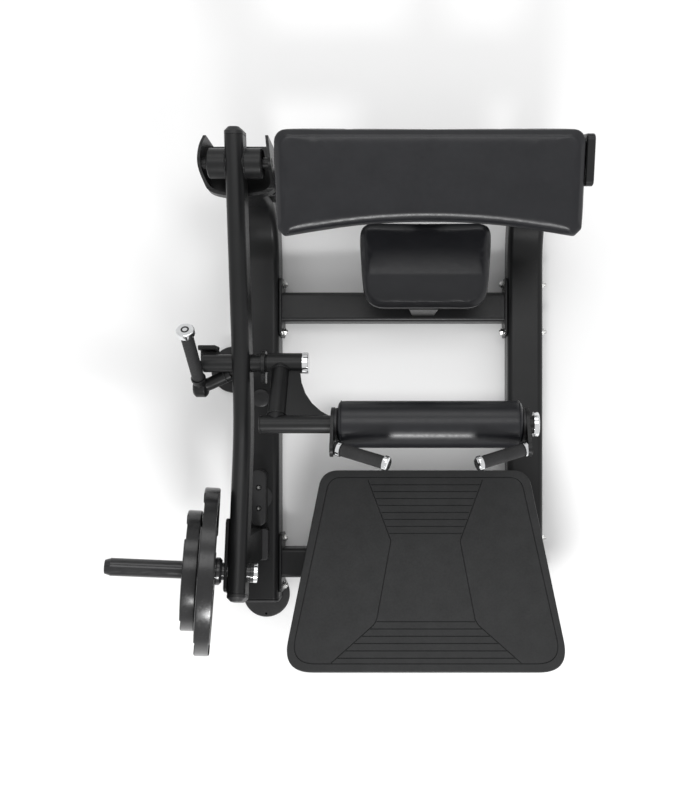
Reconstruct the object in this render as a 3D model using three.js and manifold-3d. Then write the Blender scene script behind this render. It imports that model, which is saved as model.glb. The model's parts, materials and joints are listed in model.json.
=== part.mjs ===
// Plate-loaded hip-thrust machine, in millimetres, +Z up.
// -X is the loading side with the movement arm, +Y is the back-pad end, -Y is the foot-plate end.
// Plan positions are taken from a datum near the middle of the machine; the last lines move the
// assembly so that its origin is the bottom centre of its bounding box.
import * as THREE from "three";
import { mergeVertices } from "three/addons/utils/BufferGeometryUtils.js";
import Module from "manifold-3d";

const wasm = await Module();
wasm.setup();

// ---- driving dimensions -------------------------------------------------------------------
const GAP = 0.3;
const WALL = 4;
const CORNER_STEPS = 2;
const CURVE_STEPS = 5;

const FOOT = { radius: 73.5, rearRadius: 52, height: 12.7, frontY: -509, rearY: 470 };
const RAIL = {
  leftX: -445,
  rightX: 361,
  width: 108,
  bottom: 13,
  top: 121,
  corner: 19,
  frontY: -506,
  bendY: 518,
  bendInside: 141,
  capLength: 10,
};
const LEFT_UPRIGHT_TOP = 361;
const RIGHT_UPRIGHT_TOP = 640;
const CROSS = { width: 90, height: 80, centreZ: 67, corner: 12, rearY: 387, frontY: -398.6 };
const FLANGE = { length: 180, height: 96, thick: 8, boltOffset: 73 };
const BOLT = { shank: 6, hole: 7, head: 11, headLength: 9, tip: 8 };
const OUTRIGGER = { x: -547, y: 201, width: 60, height: 50, reach: 28 };
const STOP = { legFront: -380, legRear: -288, legHalfWidth: 22, legBottom: 150.5, padHeight: 29 };
const BUMPER = { front: -279, rear: -111, width: 43, height: 45, baseRadius: 36, baseHeight: 6 };

const PIVOT = { y: 723, z: 465, hub: 40, pin: 15, bore: 16 };
const CRADLE = { left: -556, right: -362, front: 652, rear: 797, bottom: 362, top: 500, wall: 8 };
const ARM = {
  x: -458,
  width: 50,
  height: 95,
  rear: [793, 480],
  knee: [30, 337],
  front: [-437.7, 442.1],
  kneeReach: 110,
  round: 23,
  capLength: 20,
};
const HORN = { y: -378, z: 431, radius: 24, length: 350, yawDeg: 4, riseDeg: 10.5 };
const COLLAR = { radius: 37.5, start: 43.5, end: 62 };
const LARGE_PLATE = { radius: 225, start: 62.4, thick: 42 };
const SMALL_PLATE = { radius: 161, start: 104.8, thick: 40 };
const PLATE_BORE = 25.4;
// Grips are sectors of a weight plate's rim, measured as shares of the plate's radius and in
// degrees round the horn from straight up towards the back pad.
const GRIP = {
  angles: [56, -64, 176],
  halfAngle: 18,
  thinInside: 0.62,
  thinDepth: 4,
  slotInside: 0.56,
  slotOutside: 0.85,
  slotHalfAngle: 15,
};

const SHAFT = { y: 194, z: 368, radius: 25, left: -566, right: -290.3 };
const LOCK = { left: -404, right: -392, radius: 35 };
const STOP_TAB = { left: -585, right: -535 };
const PAD_BAR = { y: 23, z: 480, radius: 24, left: -390, right: 336 };
const ROLLER = { left: -184, right: 306, radius: 65, bore: 25.6 };
const STUB = { x: -350, radius: 24.5 };
const GUSSET = { thick: 8, width: 150, shaftEnd: 54, edge: 20 };
const HANDLE = {
  root: [-182, -40, 540],
  tip: [-51, -78, 590],
  mirrorX: 66,
  grip: 17,
  core: 11,
  ferrule: 19,
  cap: 19.5,
  plateThick: 9,
};
const LEVER = {
  root: [-493, 166, 352],
  corner: [-580, 127, 338],
  tip: [-580, 269, 532],
  radius: 18,
  grip: 17,
  core: 11,
  cap: 24,
  gripStart: 42,
};

const BACK_PAD = { x: 56.5, y: 623, z: 655, tiltDeg: 15, width: 775, depth: 255, thick: 75 };
const BOARD_THICK = 12;
const CARRIER_THICK = 40;
const CARRIER = { left: -330, right: 332, front: 35, rear: 105 };
const CHEEK = { gap: 3, thick: 22, front: -11, rear: 117, top: -24 };
const BEAM = { bottom: 230, top: 310, depth: 80 };
const MAST = { width: 100, depth: 60, bottom: 300, top: 700 };
const SEAT = { x: 52.7, front: 360, rear: 594, width: 373, bottom: 266, top: 330 };
const FOOT_PLATE = {
  x: 54,
  y: -392,
  z: 262,
  tiltDeg: 14.8,
  length: 586,
  rearHalf: 308,
  frontHalf: 409,
};
const MAT_THICK = 8;
const PAN_THICK = 30;

const COLOURS = {
  frame: [0x17181a, 0.5, 0.6],
  rubber: [0x101011, 0.85, 0],
  chrome: [0xc9cbce, 0.15, 1],
  vinyl: [0x121318, 0.4, 0],
  iron: [0x141415, 0.6, 0.3],
  mat: [0x1c1d1e, 0.9, 0],
};

// ---- helpers ------------------------------------------------------------------------------
const X = new THREE.Vector3(1, 0, 0);
const Y = new THREE.Vector3(0, 1, 0);
const Z = new THREE.Vector3(0, 0, 1);
const radians = THREE.MathUtils.degToRad;

function toSolid(geometry) {
  const bare = geometry.clone();
  bare.deleteAttribute("normal");
  bare.deleteAttribute("uv");
  const merged = mergeVertices(bare, 1e-3);
  const mesh = new wasm.Mesh({
    numProp: 3,
    vertProperties: merged.attributes.position.array,
    triVerts: new Uint32Array(merged.index.array),
  });
  return new wasm.Manifold(mesh);
}

function toGeometry(solid) {
  const mesh = solid.getMesh();
  const geometry = new THREE.BufferGeometry();
  geometry.setAttribute("position", new THREE.BufferAttribute(mesh.vertProperties, 3));
  geometry.setIndex(new THREE.BufferAttribute(mesh.triVerts, 1));
  geometry.computeVertexNormals();
  return geometry;
}

function join(first, ...others) {
  return toGeometry(others.reduce((sum, g) => sum.add(toSolid(g)), toSolid(first)));
}

function cut(base, ...tools) {
  return toGeometry(tools.reduce((left, g) => left.subtract(toSolid(g)), toSolid(base)));
}

function common(first, second) {
  return toGeometry(toSolid(first).intersect(toSolid(second)));
}

function piece(parent, name, geometry, [color, roughness, metalness]) {
  const mesh = new THREE.Mesh(
    geometry,
    new THREE.MeshStandardMaterial({ color, roughness, metalness }),
  );
  mesh.name = name;
  parent.add(mesh);
  return mesh;
}

// A closed slab from an outline, with its rims rounded inwards.
function slab(shape, thick, round = 0, roundSteps = 2, curveSteps = CORNER_STEPS) {
  const geometry = new THREE.ExtrudeGeometry(shape, {
    depth: thick - 2 * round,
    bevelEnabled: round > 0,
    bevelThickness: round,
    bevelSize: round,
    bevelOffset: -round,
    bevelSegments: roundSteps,
    curveSegments: curveSteps,
  });
  return geometry.translate(0, 0, round);
}

// An outline drawn in (y, z), spread along X.
function sideSlab(shape, x0, x1, round, roundSteps, curveSteps) {
  const turn = new THREE.Matrix4().makeBasis(Y, Z, X).setPosition(x0, 0, 0);
  return slab(shape, x1 - x0, round, roundSteps, curveSteps).applyMatrix4(turn);
}

// An outline drawn in (x, z), spread along Y.
function frontSlab(shape, y0, y1, round, roundSteps, curveSteps) {
  const turn = new THREE.Matrix4().makeBasis(X, Z, Y.clone().negate()).setPosition(0, y1, 0);
  return slab(shape, y1 - y0, round, roundSteps, curveSteps).applyMatrix4(turn);
}

// An outline drawn in (x, y), spread along Z.
function planSlab(shape, z0, z1, round, roundSteps, curveSteps) {
  return slab(shape, z1 - z0, round, roundSteps, curveSteps).translate(0, 0, z0);
}

function polygon(points) {
  return new THREE.Shape(points.map(([u, v]) => new THREE.Vector2(u, v)));
}

function roundedRectangle(u0, v0, u1, v1, r) {
  const shape = new THREE.Shape();
  shape.moveTo(u0 + r, v0);
  shape.lineTo(u1 - r, v0);
  shape.absarc(u1 - r, v0 + r, r, -Math.PI / 2, 0);
  shape.lineTo(u1, v1 - r);
  shape.absarc(u1 - r, v1 - r, r, 0, Math.PI / 2);
  shape.lineTo(u0 + r, v1);
  shape.absarc(u0 + r, v1 - r, r, Math.PI / 2, Math.PI);
  shape.lineTo(u0, v0 + r);
  shape.absarc(u0 + r, v0 + r, r, Math.PI, 1.5 * Math.PI);
  return shape;
}

// A polygon whose corners are rounded by the radii given with them: [u, v, radius].
function roundedPolygon(corners) {
  const shape = new THREE.Shape();
  corners.forEach(([u, v, radius], i) => {
    const corner = new THREE.Vector2(u, v);
    const before = new THREE.Vector2(...corners.at(i - 1));
    const after = new THREE.Vector2(...corners[(i + 1) % corners.length]);
    const back = before.sub(corner).normalize();
    const on = after.sub(corner).normalize();
    const reach = radius / Math.tan(back.angleTo(on) / 2);
    const start = corner.clone().addScaledVector(back, reach);
    const end = corner.clone().addScaledVector(on, reach);
    if (i === 0) shape.moveTo(start.x, start.y);
    else shape.lineTo(start.x, start.y);
    shape.quadraticCurveTo(u, v, end.x, end.y);
  });
  return shape;
}

function cylinder(from, to, radius, sides = 16) {
  const a = new THREE.Vector3(...from);
  const b = new THREE.Vector3(...to);
  const along = b.clone().sub(a);
  const geometry = new THREE.CylinderGeometry(radius, radius, along.length(), sides);
  geometry.applyQuaternion(new THREE.Quaternion().setFromUnitVectors(Y, along.normalize()));
  const middle = a.add(b).multiplyScalar(0.5);
  return geometry.translate(middle.x, middle.y, middle.z);
}

function crossCylinder(x0, x1, y, z, radius, sides) {
  return cylinder([x0, y, z], [x1, y, z], radius, sides);
}

function block(x0, x1, y0, y1, z0, z1) {
  const geometry = new THREE.BoxGeometry(x1 - x0, y1 - y0, z1 - z0);
  return geometry.translate((x0 + x1) / 2, (y0 + y1) / 2, (z0 + z1) / 2);
}

// A turned solid from [radius, along] points, laid along an axis that starts at a point.
function turned(profile, origin, axis, sides = 20) {
  const points = profile.map(([r, s]) => new THREE.Vector2(r, s));
  const geometry = new THREE.LatheGeometry(points, sides);
  geometry.applyQuaternion(new THREE.Quaternion().setFromUnitVectors(Y, axis));
  return geometry.translate(origin.x, origin.y, origin.z);
}

// ---- base frame ---------------------------------------------------------------------------
function railOutline(inset, frontY, topZ) {
  const bendZ = RAIL.top + RAIL.bendInside;
  const inside = RAIL.bendInside + inset;
  const outside = RAIL.bendInside + RAIL.width - inset;
  const shape = new THREE.Shape();
  shape.moveTo(frontY, RAIL.bottom + inset);
  shape.lineTo(RAIL.bendY, RAIL.bottom + inset);
  shape.absarc(RAIL.bendY, bendZ, outside, -Math.PI / 2, 0, false);
  shape.lineTo(RAIL.bendY + outside, topZ);
  shape.lineTo(RAIL.bendY + inside, topZ);
  shape.absarc(RAIL.bendY, bendZ, inside, 0, -Math.PI / 2, true);
  shape.lineTo(frontY, RAIL.top - inset);
  return shape;
}

function boltPlaces() {
  const places = [];
  for (const crossY of [CROSS.frontY, CROSS.rearY])
    for (const offset of [-FLANGE.boltOffset, FLANGE.boltOffset]) places.push(crossY + offset);
  return places;
}

function rail(x, topZ) {
  const half = RAIL.width / 2;
  const spare = 40;
  const outerShape = railOutline(0, RAIL.frontY - spare, topZ + spare);
  const innerShape = railOutline(WALL, RAIL.frontY - 2 * spare, topZ + 2 * spare);
  const outer = sideSlab(outerShape, x - half, x + half, RAIL.corner, 3, 4);
  const inner = sideSlab(innerShape, x - half + WALL, x + half - WALL, RAIL.corner - WALL, 1, 3);
  const ends = block(x - 100, x + 100, RAIL.frontY, 900, 0, topZ);
  const holes = boltPlaces().map((y) =>
    crossCylinder(x - 70, x + 70, y, CROSS.centreZ, BOLT.hole, 8),
  );
  return cut(common(outer, ends), inner, ...holes);
}

function railCap(x) {
  const half = RAIL.width / 2;
  const section = roundedRectangle(x - half, RAIL.bottom, x + half, RAIL.top, RAIL.corner);
  const front = RAIL.frontY - RAIL.capLength;
  return frontSlab(section, front, RAIL.frontY - GAP, 3.5, 2);
}

function crossMember(y) {
  const left = RAIL.leftX + RAIL.width / 2 + GAP;
  const right = RAIL.rightX - RAIL.width / 2 - GAP;
  const section = (inset) =>
    roundedRectangle(
      y - CROSS.width / 2 + inset,
      CROSS.centreZ - CROSS.height / 2 + inset,
      y + CROSS.width / 2 - inset,
      CROSS.centreZ + CROSS.height / 2 - inset,
      CROSS.corner - inset,
    );
  const flangeShape = roundedRectangle(
    y - FLANGE.length / 2,
    CROSS.centreZ - FLANGE.height / 2,
    y + FLANGE.length / 2,
    CROSS.centreZ + FLANGE.height / 2,
    14,
  );
  const tube = sideSlab(section(0), left + 1, right - 1);
  const flanges = [left, right - FLANGE.thick].map((x) =>
    sideSlab(flangeShape, x, x + FLANGE.thick, 1.5, 1),
  );
  const bore = sideSlab(section(WALL), left - 20, right + 20);
  const holes = [-1, 1].map((side) =>
    crossCylinder(left - 20, right + 20, y + side * FLANGE.boltOffset, CROSS.centreZ, BOLT.hole, 8),
  );
  return cut(join(tube, ...flanges), bore, ...holes);
}

function flangeBolt(railX, y) {
  const inward = railX < 0 ? 1 : -1;
  const half = RAIL.width / 2;
  const nutFace = railX + inward * (half + 2 * GAP + FLANGE.thick);
  const headFace = railX - inward * (half + GAP);
  const z = CROSS.centreZ;
  const nut = crossCylinder(nutFace, nutFace + inward * BOLT.headLength, y, z, BOLT.head, 6);
  const head = crossCylinder(headFace, headFace - inward * BOLT.headLength, y, z, BOLT.head, 6);
  const tipEnd = headFace - inward * (BOLT.headLength + BOLT.tip);
  const shank = crossCylinder(nutFace + inward * (BOLT.headLength + 4), tipEnd, y, z, BOLT.shank, 8);
  return join(shank, nut, head);
}

function foot(x, y, radius) {
  const { height } = FOOT;
  const profile = [
    [0, 0],
    [radius, 0],
    [radius, height - 5],
    [radius - 6, height],
    [0, height],
  ];
  return turned(profile, new THREE.Vector3(x, y, 0), Z, 20);
}

function addBase(group) {
  piece(group, "left_rail", rail(RAIL.leftX, LEFT_UPRIGHT_TOP), COLOURS.frame);
  const seatPlane = padPlaneCutter(BACK_PAD.thick + BOARD_THICK + CARRIER_THICK + 3 * GAP);
  const rightRail = cut(rail(RAIL.rightX, RIGHT_UPRIGHT_TOP), seatPlane);
  piece(group, "right_rail", rightRail, COLOURS.frame);
  piece(group, "left_rail_end_cap", railCap(RAIL.leftX), COLOURS.rubber);
  piece(group, "right_rail_end_cap", railCap(RAIL.rightX), COLOURS.rubber);
  piece(group, "rear_cross_member", crossMember(CROSS.rearY), COLOURS.frame);
  piece(group, "front_cross_member", crossMember(CROSS.frontY), COLOURS.frame);
  for (const [side, x] of [
    ["left", RAIL.leftX],
    ["right", RAIL.rightX],
  ]) {
    boltPlaces().forEach((y, i) =>
      piece(group, `${side}_flange_bolt_${i + 1}`, flangeBolt(x, y), COLOURS.chrome),
    );
    piece(group, `${side}_front_foot`, foot(x, FOOT.frontY, FOOT.radius), COLOURS.rubber);
    piece(group, `${side}_rear_foot`, foot(x, FOOT.rearY, FOOT.rearRadius), COLOURS.rubber);
  }
  piece(group, "outrigger_foot", foot(OUTRIGGER.x, OUTRIGGER.y, FOOT.radius), COLOURS.rubber);
  const outrigger = block(
    OUTRIGGER.x - OUTRIGGER.reach,
    RAIL.leftX - RAIL.width / 2 - GAP,
    OUTRIGGER.y - OUTRIGGER.width / 2,
    OUTRIGGER.y + OUTRIGGER.width / 2,
    RAIL.bottom,
    RAIL.bottom + OUTRIGGER.height,
  );
  piece(group, "outrigger_bracket", outrigger, COLOURS.frame);
}

// ---- rubber stops on the left rail --------------------------------------------------------
function addStops(group) {
  const x = RAIL.leftX;
  const deck = RAIL.top + GAP;
  const padShape = roundedRectangle(x - 30, STOP.legFront - 4, x + 26, STOP.legRear, 10);
  const pad = planSlab(padShape, deck, RAIL.top + STOP.padHeight, 3, 2);
  piece(group, "stop_pad", pad, COLOURS.rubber);
  const { front, rear, width, height, baseRadius, baseHeight } = BUMPER;
  const half = width / 2;
  const stadium = roundedRectangle(x - half, front, x + half, rear, half - 1);
  const middle = (front + rear) / 2;
  const base = cylinder([x, middle, deck], [x, middle, deck + baseHeight], baseRadius, 20);
  const bumper = join(planSlab(stadium, deck, deck + height, 2.5, 1, 4), base);
  piece(group, "rail_bumper", bumper, COLOURS.rubber);
}

// ---- back pad, seat and foot plate --------------------------------------------------------
function padMatrix() {
  return new THREE.Matrix4()
    .makeTranslation(BACK_PAD.x, BACK_PAD.y, BACK_PAD.z)
    .multiply(new THREE.Matrix4().makeRotationX(radians(BACK_PAD.tiltDeg)));
}

// Everything above the plane that lies a given depth under the back pad's face.
function padPlaneCutter(depth) {
  const cutter = block(-900, 900, -500, 500, -depth, 600);
  return cutter.applyMatrix4(padMatrix());
}

function backPadShape(inset) {
  const half = BACK_PAD.width / 2 - inset;
  const rear = BACK_PAD.depth / 2 - inset;
  const front = -BACK_PAD.depth / 2 + inset;
  const hollow = 35;
  const cornerCut = 18;
  const corner = 30;
  const shape = new THREE.Shape();
  shape.moveTo(-half + cornerCut, front);
  shape.quadraticCurveTo(0, front + 2 * hollow, half - cornerCut, front);
  shape.lineTo(half, front + cornerCut);
  shape.lineTo(half, rear - corner);
  shape.absarc(half - corner, rear - corner, corner, 0, Math.PI / 2);
  shape.lineTo(-half + corner, rear);
  shape.absarc(-half + corner, rear - corner, corner, Math.PI / 2, Math.PI);
  shape.lineTo(-half, front + cornerCut);
  return shape;
}

function addBackPad(group) {
  const tilted = new THREE.Group();
  tilted.position.set(BACK_PAD.x, BACK_PAD.y, BACK_PAD.z);
  tilted.rotation.x = radians(BACK_PAD.tiltDeg);
  group.add(tilted);
  const pad = planSlab(backPadShape(0), -BACK_PAD.thick, 0, 9, 2, 4);
  piece(tilted, "back_pad", pad, COLOURS.vinyl);
  const boardTop = -BACK_PAD.thick - GAP;
  const boardBottom = boardTop - BOARD_THICK;
  const board = planSlab(backPadShape(22), boardBottom, boardTop, 0, 0, 4);
  piece(tilted, "back_pad_board", board, COLOURS.frame);
  const carrierTop = boardBottom - GAP;
  const carrierBottom = carrierTop - CARRIER_THICK;
  const carrierShape = roundedRectangle(CARRIER.left, CARRIER.front, CARRIER.right, CARRIER.rear, 8);
  const carrier = planSlab(carrierShape, carrierBottom, carrierTop, 3, 1);
  const cheekX = BACK_PAD.width / 2 + CHEEK.gap;
  const cheekShape = roundedRectangle(CHEEK.front, carrierBottom, CHEEK.rear, CHEEK.top, 16);
  const cheek = sideSlab(cheekShape, cheekX, cheekX + CHEEK.thick, 3, 1);
  const link = block(320, cheekX + 7, 40, 100, carrierBottom + 4, carrierTop - 6);
  piece(tilted, "back_pad_carrier", join(carrier, cheek, link), COLOURS.frame);
}

// The rear beam between the uprights, with the mast that carries the back pad's carrier.
function addMast(group) {
  const beamY = RAIL.bendY + RAIL.bendInside + RAIL.width / 2;
  const left = RAIL.leftX + RAIL.width / 2 + GAP;
  const right = RAIL.rightX - RAIL.width / 2 - GAP;
  const beamSection = (inset) =>
    roundedRectangle(
      beamY - BEAM.depth / 2 + inset,
      BEAM.bottom + inset,
      beamY + BEAM.depth / 2 - inset,
      BEAM.top - inset,
      10 - inset,
    );
  const mastSection = (inset) =>
    roundedRectangle(
      BACK_PAD.x - MAST.width / 2 + inset,
      beamY - MAST.depth / 2 + inset,
      BACK_PAD.x + MAST.width / 2 - inset,
      beamY + MAST.depth / 2 - inset,
      8 - inset,
    );
  const outside = join(
    sideSlab(beamSection(0), left, right),
    planSlab(mastSection(0), MAST.bottom, MAST.top),
  );
  const mast = cut(
    outside,
    sideSlab(beamSection(WALL), left - 9, right + 9),
    planSlab(mastSection(WALL), MAST.bottom - 10, MAST.top + 10),
    padPlaneCutter(BACK_PAD.thick + BOARD_THICK + CARRIER_THICK + 3 * GAP),
  );
  piece(group, "back_pad_mast", mast, COLOURS.frame);
}

function seatShape(inset) {
  const rearHalf = SEAT.width / 2 - inset;
  const frontHalf = rearHalf - 14;
  return roundedPolygon([
    [SEAT.x - frontHalf, SEAT.front + inset, 62],
    [SEAT.x + frontHalf, SEAT.front + inset, 62],
    [SEAT.x + rearHalf, SEAT.rear - inset, 36],
    [SEAT.x - rearHalf, SEAT.rear - inset, 36],
  ]);
}

function addSeat(group) {
  const cushion = planSlab(seatShape(0), SEAT.bottom, SEAT.top, 10, 2, CURVE_STEPS);
  piece(group, "seat_pad", cushion, COLOURS.vinyl);
  const panTop = SEAT.bottom - GAP;
  const panBottom = panTop - 8;
  const pan = planSlab(seatShape(24), panBottom, panTop, 0, 0, CURVE_STEPS);
  piece(group, "seat_pan", pan, COLOURS.frame);
  const postTop = panBottom - GAP;
  const postBottom = CROSS.centreZ + CROSS.height / 2 + GAP;
  const postShape = polygon([
    [SEAT.x - 39, postBottom],
    [SEAT.x + 31, postBottom],
    [SEAT.x + 40, postTop],
    [SEAT.x - 48, postTop],
  ]);
  const post = frontSlab(postShape, 358, 412, 3, 1);
  const spine = block(SEAT.x - 24, SEAT.x + 16, 400, 560, postTop - 40, postTop);
  piece(group, "seat_post", join(post, spine), COLOURS.frame);
}

function footPlateShape(inset) {
  const half = FOOT_PLATE.length / 2 - inset;
  const rear = FOOT_PLATE.rearHalf - inset;
  const front = FOOT_PLATE.frontHalf - inset;
  return roundedPolygon([
    [-front, -half, 74],
    [front, -half, 74],
    [rear, half, 58],
    [-rear, half, 58],
  ]);
}

function addFootPlate(group) {
  const tilted = new THREE.Group();
  tilted.position.set(FOOT_PLATE.x, FOOT_PLATE.y, FOOT_PLATE.z);
  tilted.rotation.x = -radians(FOOT_PLATE.tiltDeg);
  group.add(tilted);
  const mat = planSlab(footPlateShape(2), -MAT_THICK, 0, 0, 0, CURVE_STEPS);
  piece(tilted, "foot_mat", mat, COLOURS.mat);
  const panTop = -MAT_THICK - GAP;
  const panBottom = panTop - PAN_THICK;
  const pan = planSlab(footPlateShape(0), panBottom, panTop, 6, 2, CURVE_STEPS);
  const hollow = planSlab(footPlateShape(16), panBottom - 20, panTop - 4, 0, 0, CURVE_STEPS);
  piece(tilted, "foot_plate_pan", cut(pan, hollow), COLOURS.frame);

  const slope = Math.tan(radians(FOOT_PLATE.tiltDeg));
  const drop = (MAT_THICK + 4 + 2 * GAP) / Math.cos(radians(FOOT_PLATE.tiltDeg));
  const underside = (y) => FOOT_PLATE.z - (y - FOOT_PLATE.y) * slope - drop;
  const deck = CROSS.centreZ + CROSS.height / 2 + GAP;
  const bracketShape = polygon([
    [CROSS.frontY - 44, deck],
    [CROSS.frontY + 44, deck],
    [-170, underside(-170) - 34],
    [-170, underside(-170)],
    [-610, underside(-610)],
    [-610, underside(-610) - 34],
  ]);
  for (const [side, x] of [
    ["left", FOOT_PLATE.x - 150],
    ["right", FOOT_PLATE.x + 150],
  ]) {
    const bracket = sideSlab(bracketShape, x - 20, x + 20, 3, 1);
    piece(group, `${side}_foot_plate_bracket`, bracket, COLOURS.frame);
  }
}

// ---- pivot cradle on the left upright -----------------------------------------------------
function cradleShape(inset) {
  const left = CRADLE.left + inset;
  const right = CRADLE.right - inset;
  const front = CRADLE.front + inset;
  const middle = (left + right) / 2;
  const shape = new THREE.Shape();
  shape.moveTo(left + 10, CRADLE.rear);
  shape.quadraticCurveTo(left - 6, 720, left + 2, front + 28);
  shape.quadraticCurveTo(left + 8, front + 2, middle, front);
  shape.quadraticCurveTo(right - 8, front + 2, right - 2, front + 28);
  shape.quadraticCurveTo(right + 6, 720, right - 10, CRADLE.rear);
  return shape;
}

function addCradle(group) {
  const shell = planSlab(cradleShape(0), CRADLE.bottom, CRADLE.top, 0, 0, CURVE_STEPS);
  const hollowShape = cradleShape(CRADLE.wall);
  hollowShape.lineTo(CRADLE.right - 30, CRADLE.rear + 60);
  hollowShape.lineTo(CRADLE.left + 30, CRADLE.rear + 60);
  const floor = CRADLE.bottom + CRADLE.wall;
  const hollow = planSlab(hollowShape, floor, CRADLE.top + 50, 0, 0, CURVE_STEPS);
  const rimShape = new THREE.Shape();
  rimShape.moveTo(600, 397);
  rimShape.lineTo(668, 397);
  rimShape.bezierCurveTo(690, 400, 690, 500, 735, 500);
  rimShape.bezierCurveTo(775, 500, 780, 480, 800, 470);
  rimShape.lineTo(850, 470);
  rimShape.lineTo(850, 600);
  rimShape.lineTo(600, 600);
  const rim = sideSlab(rimShape, CRADLE.left - 50, CRADLE.right + 50, 0, 0, CURVE_STEPS);
  const pinHole = crossCylinder(-700, -200, PIVOT.y, PIVOT.z, PIVOT.pin + GAP, 20);
  piece(group, "pivot_cradle", cut(shell, hollow, rim, pinHole), COLOURS.frame);

  const pin = crossCylinder(CRADLE.left - 2, CRADLE.right + 2, PIVOT.y, PIVOT.z, PIVOT.pin, 20);
  piece(group, "pivot_pin", pin, COLOURS.frame);
}

// ---- movement arm -------------------------------------------------------------------------
// The arm's side outline, grown or shrunk by an amount and run on past both ends.
function armOutline(grow, spare) {
  const at = (p) => new THREE.Vector2(...p);
  const rear = at(ARM.rear);
  const knee = at(ARM.knee);
  const front = at(ARM.front);
  const rearWay = rear.clone().sub(knee).normalize();
  const frontWay = front.clone().sub(knee).normalize();
  const bend = new THREE.QuadraticBezierCurve(
    knee.clone().addScaledVector(frontWay, ARM.kneeReach),
    knee,
    knee.clone().addScaledVector(rearWay, ARM.kneeReach),
  );
  const stations = [
    { point: front.clone().addScaledVector(frontWay, spare), way: frontWay.clone().negate() },
    ...[0, 0.25, 0.5, 0.75, 1].map((t) => ({ point: bend.getPoint(t), way: bend.getTangent(t) })),
    { point: rear.clone().addScaledVector(rearWay, spare), way: rearWay },
  ];
  const half = ARM.height / 2 + grow;
  const side = (sign) =>
    stations.map(({ point, way }) => {
      const shift = new THREE.Vector2(-way.y, way.x).multiplyScalar(sign * half);
      return shift.add(point);
    });
  return new THREE.Shape([...side(-1), ...side(1).reverse()]);
}

function armBody(grow, spare) {
  const half = ARM.width / 2 + grow;
  const steps = grow < 0 ? 1 : 4;
  const outline = armOutline(grow, spare);
  return sideSlab(outline, ARM.x - half, ARM.x + half, ARM.round + grow, steps);
}

// A frame at one end of the arm, with its first axis pointing out along the arm.
function armEnd([y, z]) {
  const out = new THREE.Vector3(0, y - ARM.knee[0], z - ARM.knee[1]).normalize();
  const up = new THREE.Vector3().crossVectors(X, out).multiplyScalar(Math.sign(out.y));
  return { out, up, centre: new THREE.Vector3(ARM.x, y, z) };
}

function armEndCap(end) {
  const { out, up, centre } = armEnd(end);
  const halfWidth = ARM.width / 2;
  const halfHeight = ARM.height / 2;
  const section = roundedRectangle(-halfHeight, -halfWidth, halfHeight, halfWidth, ARM.round);
  const across = new THREE.Vector3().crossVectors(out, up);
  const base = new THREE.Matrix4().makeBasis(up, across, out);
  const shift = centre.clone().addScaledVector(out, GAP);
  return slab(section, ARM.capLength, 7, 1).applyMatrix4(base.setPosition(shift));
}

function endCutter(end) {
  const { out, up, centre } = armEnd(end);
  const across = new THREE.Vector3().crossVectors(out, up);
  const base = new THREE.Matrix4().makeBasis(up, across, out).setPosition(centre);
  return block(-150, 150, -150, 150, 0, 200).applyMatrix4(base);
}

const hornAxis = new THREE.Vector3(
  -Math.cos(radians(HORN.riseDeg)) * Math.cos(radians(HORN.yawDeg)),
  Math.cos(radians(HORN.riseDeg)) * Math.sin(radians(HORN.yawDeg)),
  Math.sin(radians(HORN.riseDeg)),
);
const hornCentre = new THREE.Vector3(ARM.x, HORN.y, HORN.z);

function alongHorn(profile, sides) {
  return turned(profile, hornCentre, hornAxis, sides);
}

function hornRod(radius, from, to, sides = 24) {
  const a = hornCentre.clone().addScaledVector(hornAxis, from);
  const b = hornCentre.clone().addScaledVector(hornAxis, to);
  return cylinder(a.toArray(), b.toArray(), radius, sides);
}

function addArm(group) {
  const hubHole = crossCylinder(ARM.x - 60, ARM.x + 60, PIVOT.y, PIVOT.z, PIVOT.hub + 1, 20);
  const shaftHole = crossCylinder(ARM.x - 60, ARM.x + 60, SHAFT.y, SHAFT.z, SHAFT.radius + 1, 20);
  const hornHole = hornRod(HORN.radius + 1, -60, 60, 16);
  const inner = armBody(-WALL, 140);
  const tube = cut(armBody(0, 60), inner, endCutter(ARM.rear), endCutter(ARM.front));
  piece(group, "main_arm", cut(tube, hubHole, shaftHole, hornHole), COLOURS.frame);
  piece(group, "arm_rear_cap", armEndCap(ARM.rear), COLOURS.rubber);
  piece(group, "arm_front_cap", armEndCap(ARM.front), COLOURS.rubber);

  const hub = cut(
    crossCylinder(CRADLE.left + 23, CRADLE.right - 23, PIVOT.y, PIVOT.z, PIVOT.hub, 24),
    crossCylinder(CRADLE.left, CRADLE.right, PIVOT.y, PIVOT.z, PIVOT.bore, 20),
  );
  piece(group, "pivot_hub", hub, COLOURS.frame);

  const { legHalfWidth, legFront, legRear, legBottom } = STOP;
  const leg = block(ARM.x - legHalfWidth, ARM.x + legHalfWidth, legFront, legRear, legBottom, HORN.z);
  piece(group, "stop_leg", cut(leg, armBody(0.5, 60)), COLOURS.frame);

  const { out, up, centre } = armEnd(ARM.front);
  const plateShape = roundedRectangle(-205, -33, -6, 33, 14);
  const outward = new THREE.Vector3().crossVectors(out, up);
  const plateThick = 9.5;
  const near = ARM.x - ARM.width / 2 - GAP;
  const face = outward.x < 0 ? near : near - plateThick;
  const base = new THREE.Matrix4().makeBasis(out, up, outward).setPosition(face, centre.y, centre.z);
  const plate = slab(plateShape, plateThick, 1.5, 1).applyMatrix4(base);
  piece(group, "horn_plate", cut(plate, hornRod(HORN.radius + 1, -60, 90, 16)), COLOURS.frame);
}

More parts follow.
